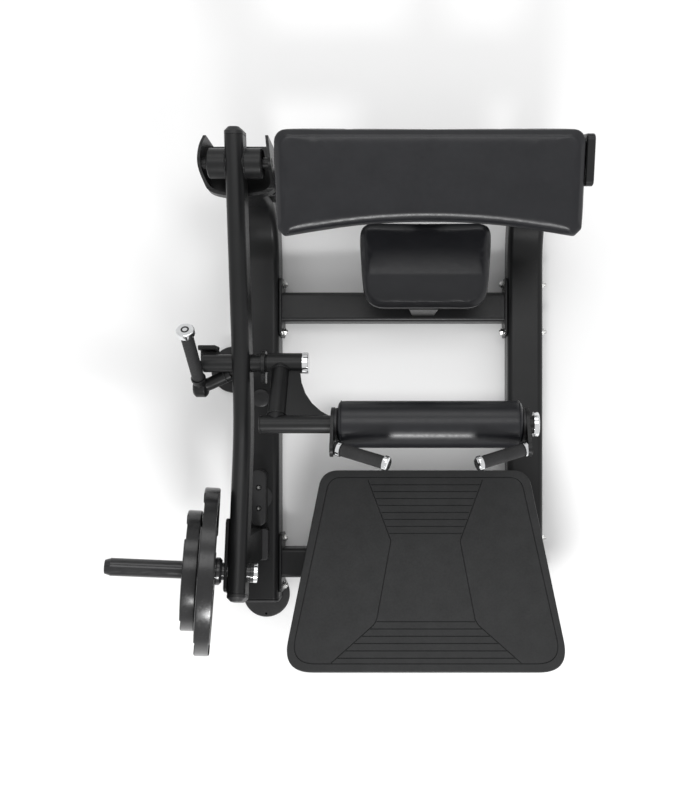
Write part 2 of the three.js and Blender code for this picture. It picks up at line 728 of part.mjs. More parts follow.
function addHorn(group) {
  const { radius, length } = HORN;
  const rod = [
    [0, -40],
    [27, -40],
    [27, -31],
    [radius, -31],
    [radius, length - 5],
    [radius - 5, length],
    [0, length],
  ];
  const ring = (inside, outside, from, to, chamfer) => [
    [inside, from],
    [outside - chamfer, from],
    [outside, from + chamfer],
    [outside, to - chamfer],
    [outside - chamfer, to],
    [inside, to],
    [inside, from],
  ];
  const collar = ring(radius - 4, COLLAR.radius, COLLAR.start, COLLAR.end, 2);
  piece(group, "weight_horn", join(alongHorn(rod, 20), alongHorn(collar, 20)), COLOURS.frame);
  const cap = [
    [0, -52],
    [24, -52],
    [27, -49],
    [27, -40 - GAP],
    [0, -40 - GAP],
  ];
  piece(group, "horn_inner_cap", alongHorn(cap, 16), COLOURS.chrome);
}

// A sector of a ring, between two radii and two angles about its own centre.
function sectorShape(inside, outside, fromDeg, toDeg) {
  const shape = new THREE.Shape();
  shape.absarc(0, 0, outside, radians(fromDeg), radians(toDeg), false);
  shape.absarc(0, 0, inside, radians(toDeg), radians(fromDeg), true);
  return shape;
}

// Lays a slab drawn across the horn between two distances along it. Its first axis points up.
function acrossHorn(shape, from, to) {
  const up = Z.clone().addScaledVector(hornAxis, -hornAxis.z).normalize();
  const side = new THREE.Vector3().crossVectors(hornAxis, up);
  const base = new THREE.Matrix4().makeBasis(up, side, hornAxis);
  base.setPosition(hornCentre.clone().addScaledVector(hornAxis, from));
  return slab(shape, to - from, 0, 0, CURVE_STEPS).applyMatrix4(base);
}

function gripTools(radius, start, end, middleDeg) {
  const { halfAngle, thinInside, thinDepth, slotInside, slotOutside, slotHalfAngle } = GRIP;
  const sector = (inside, outside, half) =>
    sectorShape(inside * radius, outside * radius, middleDeg - half, middleDeg + half);
  const rim = sector(thinInside, 1.1, halfAngle);
  const slot = sector(slotInside, slotOutside, slotHalfAngle);
  return [
    acrossHorn(rim, start - 10, start + thinDepth),
    acrossHorn(rim, end - thinDepth, end + 10),
    acrossHorn(slot, start - 10, end + 10),
  ];
}

function weightPlate({ radius, start, thick }) {
  const end = start + thick;
  const web = 7;
  const profile = [
    [PLATE_BORE, start],
    [PLATE_BORE + 24, start],
    [PLATE_BORE + 30, start + web],
    [radius - 34, start + web],
    [radius - 28, start],
    [radius - 5, start],
    [radius, start + 5],
    [radius, end - 5],
    [radius - 5, end],
    [radius - 28, end],
    [radius - 34, end - web],
    [PLATE_BORE + 30, end - web],
    [PLATE_BORE + 24, end],
    [PLATE_BORE, end],
    [PLATE_BORE, start],
  ];
  const tools = GRIP.angles.flatMap((middleDeg) => gripTools(radius, start, end, middleDeg));
  return cut(alongHorn(profile, 30), ...tools);
}

// ---- hip-pad assembly on the cross shaft --------------------------------------------------
function addShaft(group) {
  const { y, z, radius, left, right } = SHAFT;
  const capProfile = [
    [0, GAP],
    [29.5, GAP],
    [29.5, 15],
    [26, 18],
    [0, 18],
  ];
  const cap = turned(capProfile, new THREE.Vector3(right, y, z), X, 20);
  piece(group, "cross_shaft_cap", cap, COLOURS.chrome);

  const collarDisc = crossCylinder(LOCK.left, LOCK.right, y, z, LOCK.radius, 20);
  const earShape = roundedRectangle(y - 56, z - 16, y - 20, z + 16, 8);
  const ear = sideSlab(earShape, LOCK.left, LOCK.right);
  const collarBore = crossCylinder(LOCK.left - 10, LOCK.right + 10, y, z, radius + 0.6, 20);
  piece(group, "lock_collar", cut(join(collarDisc, ear), collarBore), COLOURS.frame);

  const tab = polygon([
    [y - 18, z - 68],
    [y + 52, z - 68],
    [y + 52, z - 8],
    [y + 38, z - 8],
    [y + 38, z - 44],
    [y + 8, z - 44],
    [y + 8, z],
    [y - 18, z],
  ]);
  const stopTab = sideSlab(tab, STOP_TAB.left, STOP_TAB.right, 1.5, 1);
  const shaft = crossCylinder(left, right, y, z, radius, 24);
  piece(group, "cross_shaft", join(shaft, stopTab, leverBar()), COLOURS.frame);
}

function addPadBracket(group) {
  const shaftAt = [STUB.x, SHAFT.y, SHAFT.z];
  const barAt = [STUB.x, PAD_BAR.y, PAD_BAR.z];
  const stub = cylinder(shaftAt, barAt, STUB.radius, 24);
  const reach = Math.hypot(PAD_BAR.y - SHAFT.y, PAD_BAR.z - SHAFT.z);
  const gussetShape = new THREE.Shape();
  gussetShape.moveTo(0, 0);
  gussetShape.lineTo(GUSSET.shaftEnd, 0);
  gussetShape.lineTo(GUSSET.shaftEnd, 26);
  gussetShape.quadraticCurveTo(64, 140, GUSSET.width, reach - GUSSET.edge);
  gussetShape.lineTo(GUSSET.width, reach);
  gussetShape.lineTo(0, reach);
  const way = new THREE.Vector3(0, PAD_BAR.y - SHAFT.y, PAD_BAR.z - SHAFT.z).normalize();
  const normal = new THREE.Vector3().crossVectors(X, way);
  const base = new THREE.Matrix4().makeBasis(X, way, normal);
  base.setPosition(new THREE.Vector3(...shaftAt).addScaledVector(normal, -GUSSET.thick / 2));
  const gusset = slab(gussetShape, GUSSET.thick, 0, 0, CURVE_STEPS).applyMatrix4(base);
  const bracket = cut(
    join(stub, gusset),
    crossCylinder(-700, 0, SHAFT.y, SHAFT.z, SHAFT.radius + 0.6, 20),
    crossCylinder(-700, 0, PAD_BAR.y, PAD_BAR.z, PAD_BAR.radius + 1, 20),
  );
  piece(group, "hip_pad_bracket", bracket, COLOURS.frame);
  const { y, z, radius, left, right } = PAD_BAR;
  piece(group, "hip_pad_bar", crossCylinder(left, right, y, z, radius, 24), COLOURS.frame);
  const capProfile = [
    [0, GAP],
    [33, GAP],
    [33, 11],
    [29, 15],
    [0, 15],
  ];
  const cap = turned(capProfile, new THREE.Vector3(right, y, z), X, 20);
  piece(group, "hip_pad_bar_cap", cap, COLOURS.chrome);
}

function roller() {
  const { left, right, radius, bore } = ROLLER;
  const length = right - left;
  const profile = [
    [bore, 0],
    [radius - 8, 0],
    [radius - 2, 3],
    [radius, 9],
    [radius, length - 9],
    [radius - 2, length - 3],
    [radius - 8, length],
    [bore, length],
    [bore, 0],
  ];
  return turned(profile, new THREE.Vector3(left, PAD_BAR.y, PAD_BAR.z), X, 28);
}

// A round-ended plate that reaches from the pad bar to a handle's root.
function handleYoke(x, rootY, rootZ) {
  const lobe = (y, z, r) => crossCylinder(x, x + HANDLE.plateThick, y, z, r, 16);
  const way = new THREE.Vector2(rootY - PAD_BAR.y, rootZ - PAD_BAR.z).normalize();
  const side = (y, z, r, sign) => [y - sign * way.y * r, z + sign * way.x * r];
  const bridge = polygon([
    side(PAD_BAR.y, PAD_BAR.z, 44, -1),
    side(rootY, rootZ, 21, -1),
    side(rootY, rootZ, 21, 1),
    side(PAD_BAR.y, PAD_BAR.z, 44, 1),
  ]);
  const plate = join(
    lobe(PAD_BAR.y, PAD_BAR.z, 46),
    lobe(rootY, rootZ, 22),
    sideSlab(bridge, x, x + HANDLE.plateThick),
  );
  const bore = crossCylinder(x - 20, x + 40, PAD_BAR.y, PAD_BAR.z, PAD_BAR.radius + 0.6, 16);
  return cut(plate, bore);
}

function addHandle(group, side, mirror) {
  const flip = (x) => (mirror ? 2 * HANDLE.mirrorX - x : x);
  const root = new THREE.Vector3(flip(HANDLE.root[0]), HANDLE.root[1], HANDLE.root[2]);
  const tip = new THREE.Vector3(flip(HANDLE.tip[0]), HANDLE.tip[1], HANDLE.tip[2]);
  const way = tip.clone().sub(root).normalize();
  const length = tip.distanceTo(root);
  const plateX = mirror ? ROLLER.right + 8 : ROLLER.left - 8 - HANDLE.plateThick;
  const yoke = handleYoke(plateX, root.y, root.z);
  const ferrule = turned(
    [
      [0, -6],
      [HANDLE.ferrule, -6],
      [HANDLE.ferrule, 14],
      [HANDLE.core, 14],
      [HANDLE.core, length - 14],
      [0, length - 14],
    ],
    root,
    way,
    16,
  );
  piece(group, `${side}_handle`, join(yoke, ferrule), COLOURS.frame);
  const grip = turned(
    [
      [HANDLE.core + GAP, 14 + GAP],
      [HANDLE.grip, 14 + GAP],
      [HANDLE.grip, length - 8],
      [HANDLE.core + GAP, length - 8],
      [HANDLE.core + GAP, 14 + GAP],
    ],
    root,
    way,
    16,
  );
  piece(group, `${side}_handle_grip`, grip, COLOURS.rubber);
  const cap = turned(
    [
      [0, length - 8 + GAP],
      [HANDLE.cap, length - 8 + GAP],
      [HANDLE.cap, length + 3],
      [HANDLE.cap - 3, length + 6],
      [0, length + 6],
    ],
    root,
    way,
    16,
  );
  piece(group, `${side}_handle_cap`, cap, COLOURS.chrome);
}

// The lever's bent bar: out from the shaft, round an elbow and up through the grip.
function leverBar() {
  const { corner, way, length } = leverLine();
  const elbow = new THREE.SphereGeometry(LEVER.radius, 12, 8).translate(...LEVER.corner);
  const link = cylinder(LEVER.root, LEVER.corner, LEVER.radius - 0.05, 12);
  const neckEnd = corner.clone().addScaledVector(way, LEVER.gripStart);
  const neck = cylinder(LEVER.corner, neckEnd.toArray(), LEVER.radius - 0.1, 12);
  const coreEnd = corner.clone().addScaledVector(way, length - 12);
  const core = cylinder(LEVER.corner, coreEnd.toArray(), LEVER.core, 10);
  return join(elbow, link, neck, core);
}

function leverLine() {
  const corner = new THREE.Vector3(...LEVER.corner);
  const along = new THREE.Vector3(...LEVER.tip).sub(corner);
  return { corner, length: along.length(), way: along.clone().normalize() };
}

function addLever(group) {
  const { corner, way, length } = leverLine();
  const grip = turned(
    [
      [LEVER.core + GAP, LEVER.gripStart + GAP],
      [LEVER.grip, LEVER.gripStart + GAP],
      [LEVER.grip, length - 8],
      [LEVER.core + GAP, length - 8],
      [LEVER.core + GAP, LEVER.gripStart + GAP],
    ],
    corner,
    way,
    16,
  );
  piece(group, "lever_grip", grip, COLOURS.rubber);
  const cap = turned(
    [
      [0, length - 8 + GAP],
      [LEVER.cap, length - 8 + GAP],
      [LEVER.cap, length + 4],
      [LEVER.cap - 4, length + 8],
      [0, length + 8],
    ],
    corner,
    way,
    16,
  );
  piece(group, "lever_cap", cap, COLOURS.chrome);
}

// ---- assembly -----------------------------------------------------------------------------
const machine = new THREE.Group();
addBase(machine);
addStops(machine);
addCradle(machine);
addBackPad(machine);
addMast(machine);
addSeat(machine);
addFootPlate(machine);
addArm(machine);
addHorn(machine);
piece(machine, "large_weight_plate", weightPlate(LARGE_PLATE), COLOURS.iron);
piece(machine, "small_weight_plate", weightPlate(SMALL_PLATE), COLOURS.iron);
addShaft(machine);
addPadBracket(machine);
piece(machine, "hip_roller_pad", roller(), COLOURS.vinyl);
addHandle(machine, "left", false);
addHandle(machine, "right", true);
addLever(machine);

machine.updateMatrixWorld(true);
const bounds = new THREE.Box3().setFromObject(machine, true);
const centre = bounds.getCenter(new THREE.Vector3());
machine.position.set(-centre.x, -centre.y, -bounds.min.z);

export default machine;
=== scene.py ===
# Looks of a plate-loaded hip-thrust machine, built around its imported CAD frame.
# Metres, +Z up. -X is the loading side, +Y the back-pad end and -Y the foot-plate end.
import json
import math

import bmesh
import bpy
import numpy as np
from mathutils import Matrix, Vector


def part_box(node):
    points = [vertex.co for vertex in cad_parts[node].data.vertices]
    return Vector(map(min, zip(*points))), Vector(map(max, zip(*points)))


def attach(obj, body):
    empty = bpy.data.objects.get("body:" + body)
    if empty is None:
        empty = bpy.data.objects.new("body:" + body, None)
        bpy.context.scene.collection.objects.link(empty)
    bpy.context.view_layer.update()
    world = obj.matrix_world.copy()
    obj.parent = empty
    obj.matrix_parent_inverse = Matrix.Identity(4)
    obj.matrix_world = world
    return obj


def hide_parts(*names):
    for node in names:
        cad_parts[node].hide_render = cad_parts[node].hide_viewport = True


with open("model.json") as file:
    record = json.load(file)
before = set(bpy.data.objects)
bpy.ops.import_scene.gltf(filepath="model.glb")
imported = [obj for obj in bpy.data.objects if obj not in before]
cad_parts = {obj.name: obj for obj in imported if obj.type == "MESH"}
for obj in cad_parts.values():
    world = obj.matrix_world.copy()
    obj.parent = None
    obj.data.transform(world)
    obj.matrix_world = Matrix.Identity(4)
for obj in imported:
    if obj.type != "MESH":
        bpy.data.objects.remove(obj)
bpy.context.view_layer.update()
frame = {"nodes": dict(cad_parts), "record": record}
scene = bpy.context.scene
scene.view_settings.view_transform = "Standard"

MM = 0.001
X, Y, Z = Vector((1, 0, 0)), Vector((0, 1, 0)), Vector((0, 0, 1))
record = frame["record"]
BODY = {node: body for body, nodes in record["behaviour"]["bodies"].items() for node in nodes}
SLOT = {part["node"]: part["material_slot"] for part in record["subparts"]}

# Millimetre positions below are measured from the CAD's plan datum. The left rail gives its place:
# these are the rail's centreline, its front end and its width.
RAIL_X, RAIL_FRONT, RAIL_WIDTH = -445, -506, 108
rail_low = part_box("left_rail")[0]
rail_left = RAIL_X - RAIL_WIDTH / 2
DATUM = Vector((rail_low.x - rail_left * MM, rail_low.y - RAIL_FRONT * MM, 0))
TO_METRES = Matrix.Scale(MM, 4)
# From millimetres at the datum to metres in the shared frame.
PLAN = Matrix.Translation(DATUM) @ TO_METRES


def at(x, y, z):
    """A point given in millimetres from the CAD's datum."""
    return DATUM + Vector((x, y, z)) * MM


# ---- mesh helpers -------------------------------------------------------------------------
def add_object(name, mesh):
    obj = bpy.data.objects.new(name, mesh)
    scene.collection.objects.link(obj)
    return obj


def from_faces(name, points, faces):
    mesh = bpy.data.meshes.new(name)
    mesh.from_pydata([tuple(p) for p in points], [], faces)
    solid = bmesh.new()
    solid.from_mesh(mesh)
    bmesh.ops.recalc_face_normals(solid, faces=solid.faces)
    solid.to_mesh(mesh)
    solid.free()
    return add_object(name, mesh)


def loft(name, rings, wrap=False):
    """Joins equal rings of points in order. The ends are capped, or joined where it wraps round."""
    count = len(rings[0])
    faces = []
    for r in range(len(rings) - (0 if wrap else 1)):
        here, there = r * count, (r + 1) % len(rings) * count
        for i in range(count):
            j = (i + 1) % count
            faces.append((here + i, here + j, there + j, there + i))
    if not wrap:
        faces.append(tuple(range(count))[::-1])
        faces.append(tuple((len(rings) - 1) * count + i for i in range(count)))
    return from_faces(name, [p for ring in rings for p in ring], faces)


def axes_across(axis):
    """Two directions square to an axis. The first points as nearly up as it can."""
    axis = axis.normalized()
    up = Z if abs(axis.z) < 0.9 else Y
    first = (up - axis * up.dot(axis)).normalized()
    return first, axis.cross(first)


def lathe(name, profile, origin, axis, sides=64):
    """Turns a profile of (radius, distance) pairs, in metres, about an axis."""
    axis = axis.normalized()
    first, second = axes_across(axis)
    tube = profile[0] == profile[-1]
    used = [p for p in (profile[:-1] if tube else profile) if p[0] > 0]
    angles = [2 * math.pi * i / sides for i in range(sides)]
    turn = [first * math.cos(a) + second * math.sin(a) for a in angles]
    rings = [[origin + axis * s + t * r for t in turn] for r, s in used]
    return loft(name, rings, wrap=tube)


def rod(name, start, end, radius, chamfer=0.0, sides=64):
    length = (end - start).length
    profile = [(radius, chamfer), (radius, length - chamfer)]
    if chamfer:
        profile = [(radius - chamfer, 0), *profile, (radius - chamfer, length)]
    return lathe(name, profile, start, end - start, sides)


def turned(name, profile, start, way, sides=64):
    """Turns a profile in millimetres about a line through a point."""
    return lathe(name, [(r * MM, s * MM) for r, s in profile], start, way, sides)


def ring(name, start, way, inner, outer, s0, s1, edge=0.8):
    """A tube along a line, in millimetres, with its outer rims chamfered."""
    profile = [
        (inner, s0),
        (outer - edge, s0),
        (outer, s0 + edge),
        (outer, s1 - edge),
        (outer - edge, s1),
        (inner, s1),
        (inner, s0),
    ]
    return turned(name, profile, start, way)


def polar(radius, degrees):
    return radius * math.cos(math.radians(degrees)), radius * math.sin(math.radians(degrees))


def arc(cu, cv, radius, start, end, steps):
    """Points of an arc, angles in degrees."""
    angles = np.radians(np.linspace(start, end, steps + 1))
    return [(cu + radius * math.cos(a), cv + radius * math.sin(a)) for a in angles]


def rounded_rectangle(u0, v0, u1, v1, radius, steps=8):
    return [
        *arc(u1 - radius, v0 + radius, radius, -90, 0, steps),
        *arc(u1 - radius, v1 - radius, radius, 0, 90, steps),
        *arc(u0 + radius, v1 - radius, radius, 90, 180, steps),
        *arc(u0 + radius, v0 + radius, radius, 180, 270, steps),
    ]


def quadratic(a, b, c, steps):
    a, b, c = Vector(a), Vector(b), Vector(c)
    ts = [i / steps for i in range(steps + 1)]
    return [tuple(a * (1 - t) ** 2 + b * 2 * t * (1 - t) + c * t * t) for t in ts]


def bezier(a, b, c, d, steps):
    a, b, c, d = (Vector(p) for p in (a, b, c, d))
    ts = [i / steps for i in range(steps + 1)]
    return [
        tuple(a * (1 - t) ** 3 + b * 3 * t * (1 - t) ** 2 + c * 3 * t * t * (1 - t) + d * t**3)
        for t in ts
    ]


def rounded_corner(before, corner, after, reach, steps):
    """The corner of a line, rounded by one parabola that starts and ends at its reach."""
    corner = Vector(corner)
    back, on = (Vector(before) - corner).normalized(), (Vector(after) - corner).normalized()
    return quadratic(corner + back * reach, corner, corner + on * reach, steps)


def rounded_polygon(corners, steps=14):
    """A polygon with corners (u, v, radius), each rounded by one parabola."""
    points = []
    for i, (u, v, radius) in enumerate(corners):
        corner = Vector((u, v))
        back = (Vector(corners[i - 1][:2]) - corner).normalized()
        on = (Vector(corners[(i + 1) % len(corners)][:2]) - corner).normalized()
        reach = radius / math.tan(back.angle(on) / 2)
        points += quadratic(corner + back * reach, corner, corner + on * reach, steps)
    return points


def frame_matrix(origin, first, second, third):
    rows = [(first[i], second[i], third[i], origin[i]) for i in range(3)]
    return Matrix([*rows, (0, 0, 0, 1)])


def side_frame(x):
    """From outlines drawn in (y, z) and spread along X, all in millimetres, to the shared frame."""
    return PLAN @ frame_matrix(Vector((x, 0, 0)), Y, Z, X)


def prism(name, outline, low, high, matrix=None):
    """An outline spread along its own third axis, between two heights."""
    rings = [[Vector((u, v, w)) for u, v in outline] for w in (low, high)]
    obj = loft(name, rings)
    if matrix is not None:
        obj.data.transform(matrix)
        if matrix.to_3x3().determinant() < 0:
            obj.data.flip_normals()
    return obj


def layered(name, levels, matrix):
    """Equal outlines stacked at their own heights."""
    rings = [[matrix @ Vector((u, v, w)) for u, v in outline] for outline, w in levels]
    return loft(name, rings)


def sweep(name, section, stations, wrap=False):
    """A section of (u, v) points carried through stations of (point, first axis, second axis)."""
    rings = [[p + a * u + b * v for u, v in section] for p, a, b in stations]
    return loft(name, rings, wrap)


def circle(radius, sides=48):
    return arc(0, 0, radius, 0, 360 - 360 / sides, sides - 1)


def along_path(points):
    """Stations square to a path, turned as little as possible from one to the next."""
    stations = []
    first = axes_across(points[1] - points[0])[0]
    for i, point in enumerate(points):
        way = (points[min(i + 1, len(points) - 1)] - points[max(i - 1, 0)]).normalized()
        first = (first - way * first.dot(way)).normalized()
        stations.append((point, first, way.cross(first)))
    return stations


def bake(obj):
    """Replaces the object's mesh by what its modifiers make of it."""
    graph = bpy.context.evaluated_depsgraph_get()
    made = bpy.data.meshes.new_from_object(obj.evaluated_get(graph))
    obj.modifiers.clear()
    obj.data = made
    return obj


def soften(obj, width, segments=3, angle=35):
    """Rounds the sharp edges."""
    bevel = obj.modifiers.new("edge", "BEVEL")
    bevel.width = width
    bevel.segments = segments
    bevel.limit_method = "ANGLE"
    bevel.angle_limit = math.radians(angle)
    return bake(obj)


def combine(obj, tool, operation="DIFFERENCE"):
    step = obj.modifiers.new("cut", "BOOLEAN")
    step.object = tool
    step.operation = operation
    step.solver = "EXACT"
    bake(obj)
    bpy.data.objects.remove(tool)
    return obj


def joined(name, parts):
    """Several closed bodies as the mesh of one object."""
    together = bmesh.new()
    for part in parts:
        together.from_mesh(part.data)
        bpy.data.objects.remove(part)
    mesh = bpy.data.meshes.new(name)
    together.to_mesh(mesh)
    together.free()
    return add_object(name, mesh)


def from_cad(name, node, edge, segments):
    """A copy of a CAD node whose facets are merged and whose edges are rounded."""
    mesh = bpy.data.meshes.new(name)
    solid = bmesh.new()
    solid.from_mesh(frame["nodes"][node].data)
    for layer in list(solid.loops.layers.float_vector):
        solid.loops.layers.float_vector.remove(layer)
    bmesh.ops.remove_doubles(solid, verts=solid.verts, dist=0.02 * MM)
    flat = math.radians(0.6)
    bmesh.ops.dissolve_limit(solid, angle_limit=flat, verts=solid.verts, edges=solid.edges)
    solid.to_mesh(mesh)
    solid.free()
    for layer in [a.name for a in mesh.attributes if "normal" in a.name]:
        mesh.attributes.remove(mesh.attributes[layer])
    return soften(add_object(name, mesh), edge, segments)


def dress(obj, material, node, stands_for=True, slot=None, angle=38):
    """Gives a piece its material and body. It stands for the CAD node unless told not to."""
    mesh = obj.data
    mesh.materials.clear()
    mesh.materials.append(material)
    mesh.shade_smooth()
    mesh.set_sharp_from_angle(angle=math.radians(angle))
    weighted = obj.modifiers.new("normals", "WEIGHTED_NORMAL")
    weighted.keep_sharp = True
    bake(obj)
    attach(obj, BODY[node])
    slot or SLOT[node]
    if stands_for:
        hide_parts(node)
    return obj


def detail(obj, material, node, slot=None, angle=38):
    """Dresses a piece that is added to a node's part without standing for the node."""
    dress(obj, material, node, False, slot, angle)


def keep_cad(name, node, edge, segments=3, material=None):
    """A piece with the CAD node's own shape and rounded edges, powder coated unless told."""
    return dress(from_cad(name, node, edge * MM, segments), material or COAT, node)


# ---- materials ----------------------------------------------------------------------------
class Finish:
    """A procedural material: one Principled shader, with colour, roughness and bump from nodes."""

    def __init__(self, name, metallic=0.0, specular=0.5, **direct):
        self.material = bpy.data.materials.new(name)
        self.material.use_nodes = True
        self.tree = self.material.node_tree
        self.tree.nodes.clear()
        out = self.tree.nodes.new("ShaderNodeOutputMaterial")
        self.shader = self.tree.nodes.new("ShaderNodeBsdfPrincipled")
        self.tree.links.new(self.shader.outputs["BSDF"], out.inputs["Surface"])
        self.shader.inputs["Metallic"].default_value = metallic
        self.shader.inputs["Specular IOR Level"].default_value = specular
        for key, value in direct.items():
            self.shader.inputs[key.replace("_", " ")].default_value = value
        coords = self.tree.nodes.new("ShaderNodeTexCoord")
        self.where = coords.outputs["Object"]
        self.normal = None

    def link(self, start, end):
        self.tree.links.new(start, end)

    def stretched(self, x, y, z):
        """The object's own coordinates, stretched, for streaks."""
        mapping = self.tree.nodes.new("ShaderNodeMapping")
        mapping.inputs["Scale"].default_value = (x, y, z)
        self.link(self.where, mapping.inputs["Vector"])
        return mapping.outputs["Vector"]

    def noise(self, scale, detail=3.0, where=None):
        node = self.tree.nodes.new("ShaderNodeTexNoise")
        node.inputs["Scale"].default_value = scale
        node.inputs["Detail"].default_value = detail
        self.link(where or self.where, node.inputs["Vector"])
        return node.outputs["Fac"]

    def cells(self, scale, feature="DISTANCE_TO_EDGE"):
        node = self.tree.nodes.new("ShaderNodeTexVoronoi")
        node.feature = feature
        node.inputs["Scale"].default_value = scale
        self.link(self.where, node.inputs["Vector"])
        return node.outputs["Distance"]

    def spread(self, value, low, high, start=0.3, end=0.7):
        """Maps a texture's value to a range."""
        node = self.tree.nodes.new("ShaderNodeMapRange")
        node.inputs["From Min"].default_value = start
        node.inputs["From Max"].default_value = end
        node.inputs["To Min"].default_value = low
        node.inputs["To Max"].default_value = high
        self.link(value, node.inputs["Value"])
        return node.outputs["Result"]

    def colour(self, value, dark, light):
        ramp = self.tree.nodes.new("ShaderNodeValToRGB")
        ramp.color_ramp.elements[0].position = 0.3
        ramp.color_ramp.elements[1].position = 0.7
        ramp.color_ramp.elements[0].color = (*dark, 1)
        ramp.color_ramp.elements[1].color = (*light, 1)
        self.link(value, ramp.inputs["Fac"])
        self.link(ramp.outputs["Color"], self.shader.inputs["Base Color"])

    def roughness(self, value, low, high):
        self.link(self.spread(value, low, high), self.shader.inputs["Roughness"])

    def bump(self, height, strength, distance):
        node = self.tree.nodes.new("ShaderNodeBump")
        node.inputs["Strength"].default_value = strength
        node.inputs["Distance"].default_value = distance
        self.link(height, node.inputs["Height"])
        if self.normal is not None:
            self.link(self.normal, node.inputs["Normal"])
        self.normal = node.outputs["Normal"]
        self.link(self.normal, self.shader.inputs["Normal"])


def powder_coat():
    """Satin black powder coat with a fine orange peel."""
    f = Finish("powder_coat", specular=0.3)
    f.colour(f.noise(9), (0.0056, 0.0058, 0.0062), (0.0084, 0.0086, 0.009))
    f.roughness(f.noise(240, 4), 0.3, 0.43)
    f.bump(f.noise(1500, 2), 0.16, 0.25 * MM)
    f.bump(f.noise(260, 2), 0.08, 0.6 * MM)
    return f.material


def chrome():
    """Bright chrome with faint hazing and hairline marks."""
    f = Finish("chrome", metallic=1.0)
    f.colour(f.noise(40), (0.72, 0.73, 0.74), (0.86, 0.87, 0.88))
    f.roughness(f.noise(120, 5), 0.05, 0.16)
    f.bump(f.noise(600, 6, f.stretched(1, 1, 0.04)), 0.05, 0.1 * MM)
    return f.material


def zinc():
    """Bright plated fasteners."""
    f = Finish("zinc_plate", metallic=1.0)
    f.colour(f.noise(90), (0.55, 0.55, 0.54), (0.74, 0.74, 0.73))
    f.roughness(f.noise(300, 4), 0.18, 0.34)
    f.bump(f.noise(2200, 3), 0.12, 0.1 * MM)
    return f.material


def black_oxide():
    """Dark blackened screws and recesses."""
    f = Finish("black_oxide", metallic=0.6)
    f.colour(f.noise(200), (0.01, 0.01, 0.011), (0.03, 0.03, 0.032))
    f.roughness(f.noise(500, 3), 0.35, 0.55)
    f.bump(f.noise(1800, 2), 0.1, 0.1 * MM)
    return f.material


def vinyl():
    """Black upholstery vinyl: a pebbled grain over soft undulation, slightly blue."""
    f = Finish("upholstery_vinyl", specular=0.34)
    f.colour(f.noise(14, 4), (0.0085, 0.0088, 0.0107), (0.0115, 0.0118, 0.014))
    f.roughness(f.noise(90, 4), 0.28, 0.36)
    f.bump(f.noise(16, 2), 0.05, 2.5 * MM)
    f.bump(f.spread(f.cells(620), 0, 1, 0, 0.35), 0.12, 0.15 * MM)
    f.bump(f.noise(1900, 2), 0.12, 0.08 * MM)
    return f.material


def thread():
    """Stitching thread."""
    f = Finish("stitching_thread", specular=0.3)
    f.colour(f.noise(900), (0.014, 0.014, 0.015), (0.03, 0.03, 0.032))
    f.roughness(f.noise(700), 0.6, 0.8)
    f.bump(f.noise(3000), 0.3, 0.1 * MM)
    return f.material


def moulded_rubber(name, dark, light, rough, grain):
    f = Finish(name, specular=0.35)
    f.colour(f.noise(22, 5), dark, light)
    f.roughness(f.noise(180, 4), rough - 0.07, rough + 0.07)
    f.bump(f.noise(grain, 3), 0.35, 0.25 * MM)
    f.bump(f.noise(45, 3), 0.1, 0.8 * MM)
    return f.material


def plate_coat():
    """Smooth black coating of the weight plates, faintly hammered."""
    f = Finish("plate_coat", specular=0.45)
    f.colour(f.noise(30, 4), (0.0078, 0.0078, 0.0084), (0.012, 0.012, 0.0126))
    f.roughness(f.noise(150, 5), 0.18, 0.28)
    f.bump(f.cells(330, "SMOOTH_F1"), 0.12, 0.4 * MM)
    f.bump(f.noise(1400, 2), 0.08, 0.12 * MM)
    return f.material


def horn_steel():
    """Dark coated bar, polished and scuffed along its length by sliding plates."""
    f = Finish("horn_steel", specular=0.4)
    streaks = f.noise(210, 6, f.stretched(0.05, 1, 1))
    f.colour(streaks, (0.011, 0.011, 0.012), (0.024, 0.024, 0.025))
    f.roughness(streaks, 0.13, 0.24)
    f.bump(streaks, 0.1, 0.12 * MM)
    return f.material


COAT = powder_coat()
CHROME = chrome()
ZINC = zinc()
OXIDE = black_oxide()
VINYL = vinyl()
THREAD = thread()
MAT = moulded_rubber("mat_rubber", (0.0105, 0.0108, 0.0112), (0.0145, 0.0149, 0.0154), 0.6, 900)
RUBBER = moulded_rubber("buffer_rubber", (0.012, 0.012, 0.0125), (0.02, 0.02, 0.021), 0.6, 1100)
GRIP = moulded_rubber("grip_rubber", (0.013, 0.013, 0.0135), (0.024, 0.024, 0.025), 0.64, 1600)
PLASTIC = moulded_rubber("cap_plastic", (0.013, 0.013, 0.0135), (0.019, 0.019, 0.02), 0.42, 1300)
PLATE = plate_coat()
HORN = horn_steel()


# ---- camera, floor and light --------------------------------------------------------------
CAMERA_HEIGHT = 3000
LENS, SENSOR = 42.525, 36
SHIFT_X, SHIFT_Y = -0.07125, 0.04125
FLOOR_HALF = 40
WORLD_STRENGTH = 0.76
LIGHTS_AIM = (0.1, 0, 0.4)


def add_camera():
    """A straight-down view over the datum, framed off centre."""
    data = bpy.data.cameras.new("camera")
    data.lens = LENS
    data.sensor_width = SENSOR
    data.shift_x = SHIFT_X
    data.shift_y = SHIFT_Y
    data.clip_end = 100
    camera = bpy.data.objects.new("camera", data)
    camera.location = at(0, 0, CAMERA_HEIGHT)
    scene.collection.objects.link(camera)
    scene.camera = camera


def add_floor():
    far = FLOOR_HALF
    corners = [(-far, -far, 0), (far, -far, 0), (far, far, 0), (-far, far, 0)]
    floor = from_faces("floor", corners, [(0, 1, 2, 3)])
    f = Finish("floor_paint", specular=0.1)
    f.colour(f.noise(1.5), (0.9, 0.9, 0.9), (0.93, 0.93, 0.93))
    f.roughness(f.noise(8), 0.75, 0.9)
    floor.data.materials.append(f.material)


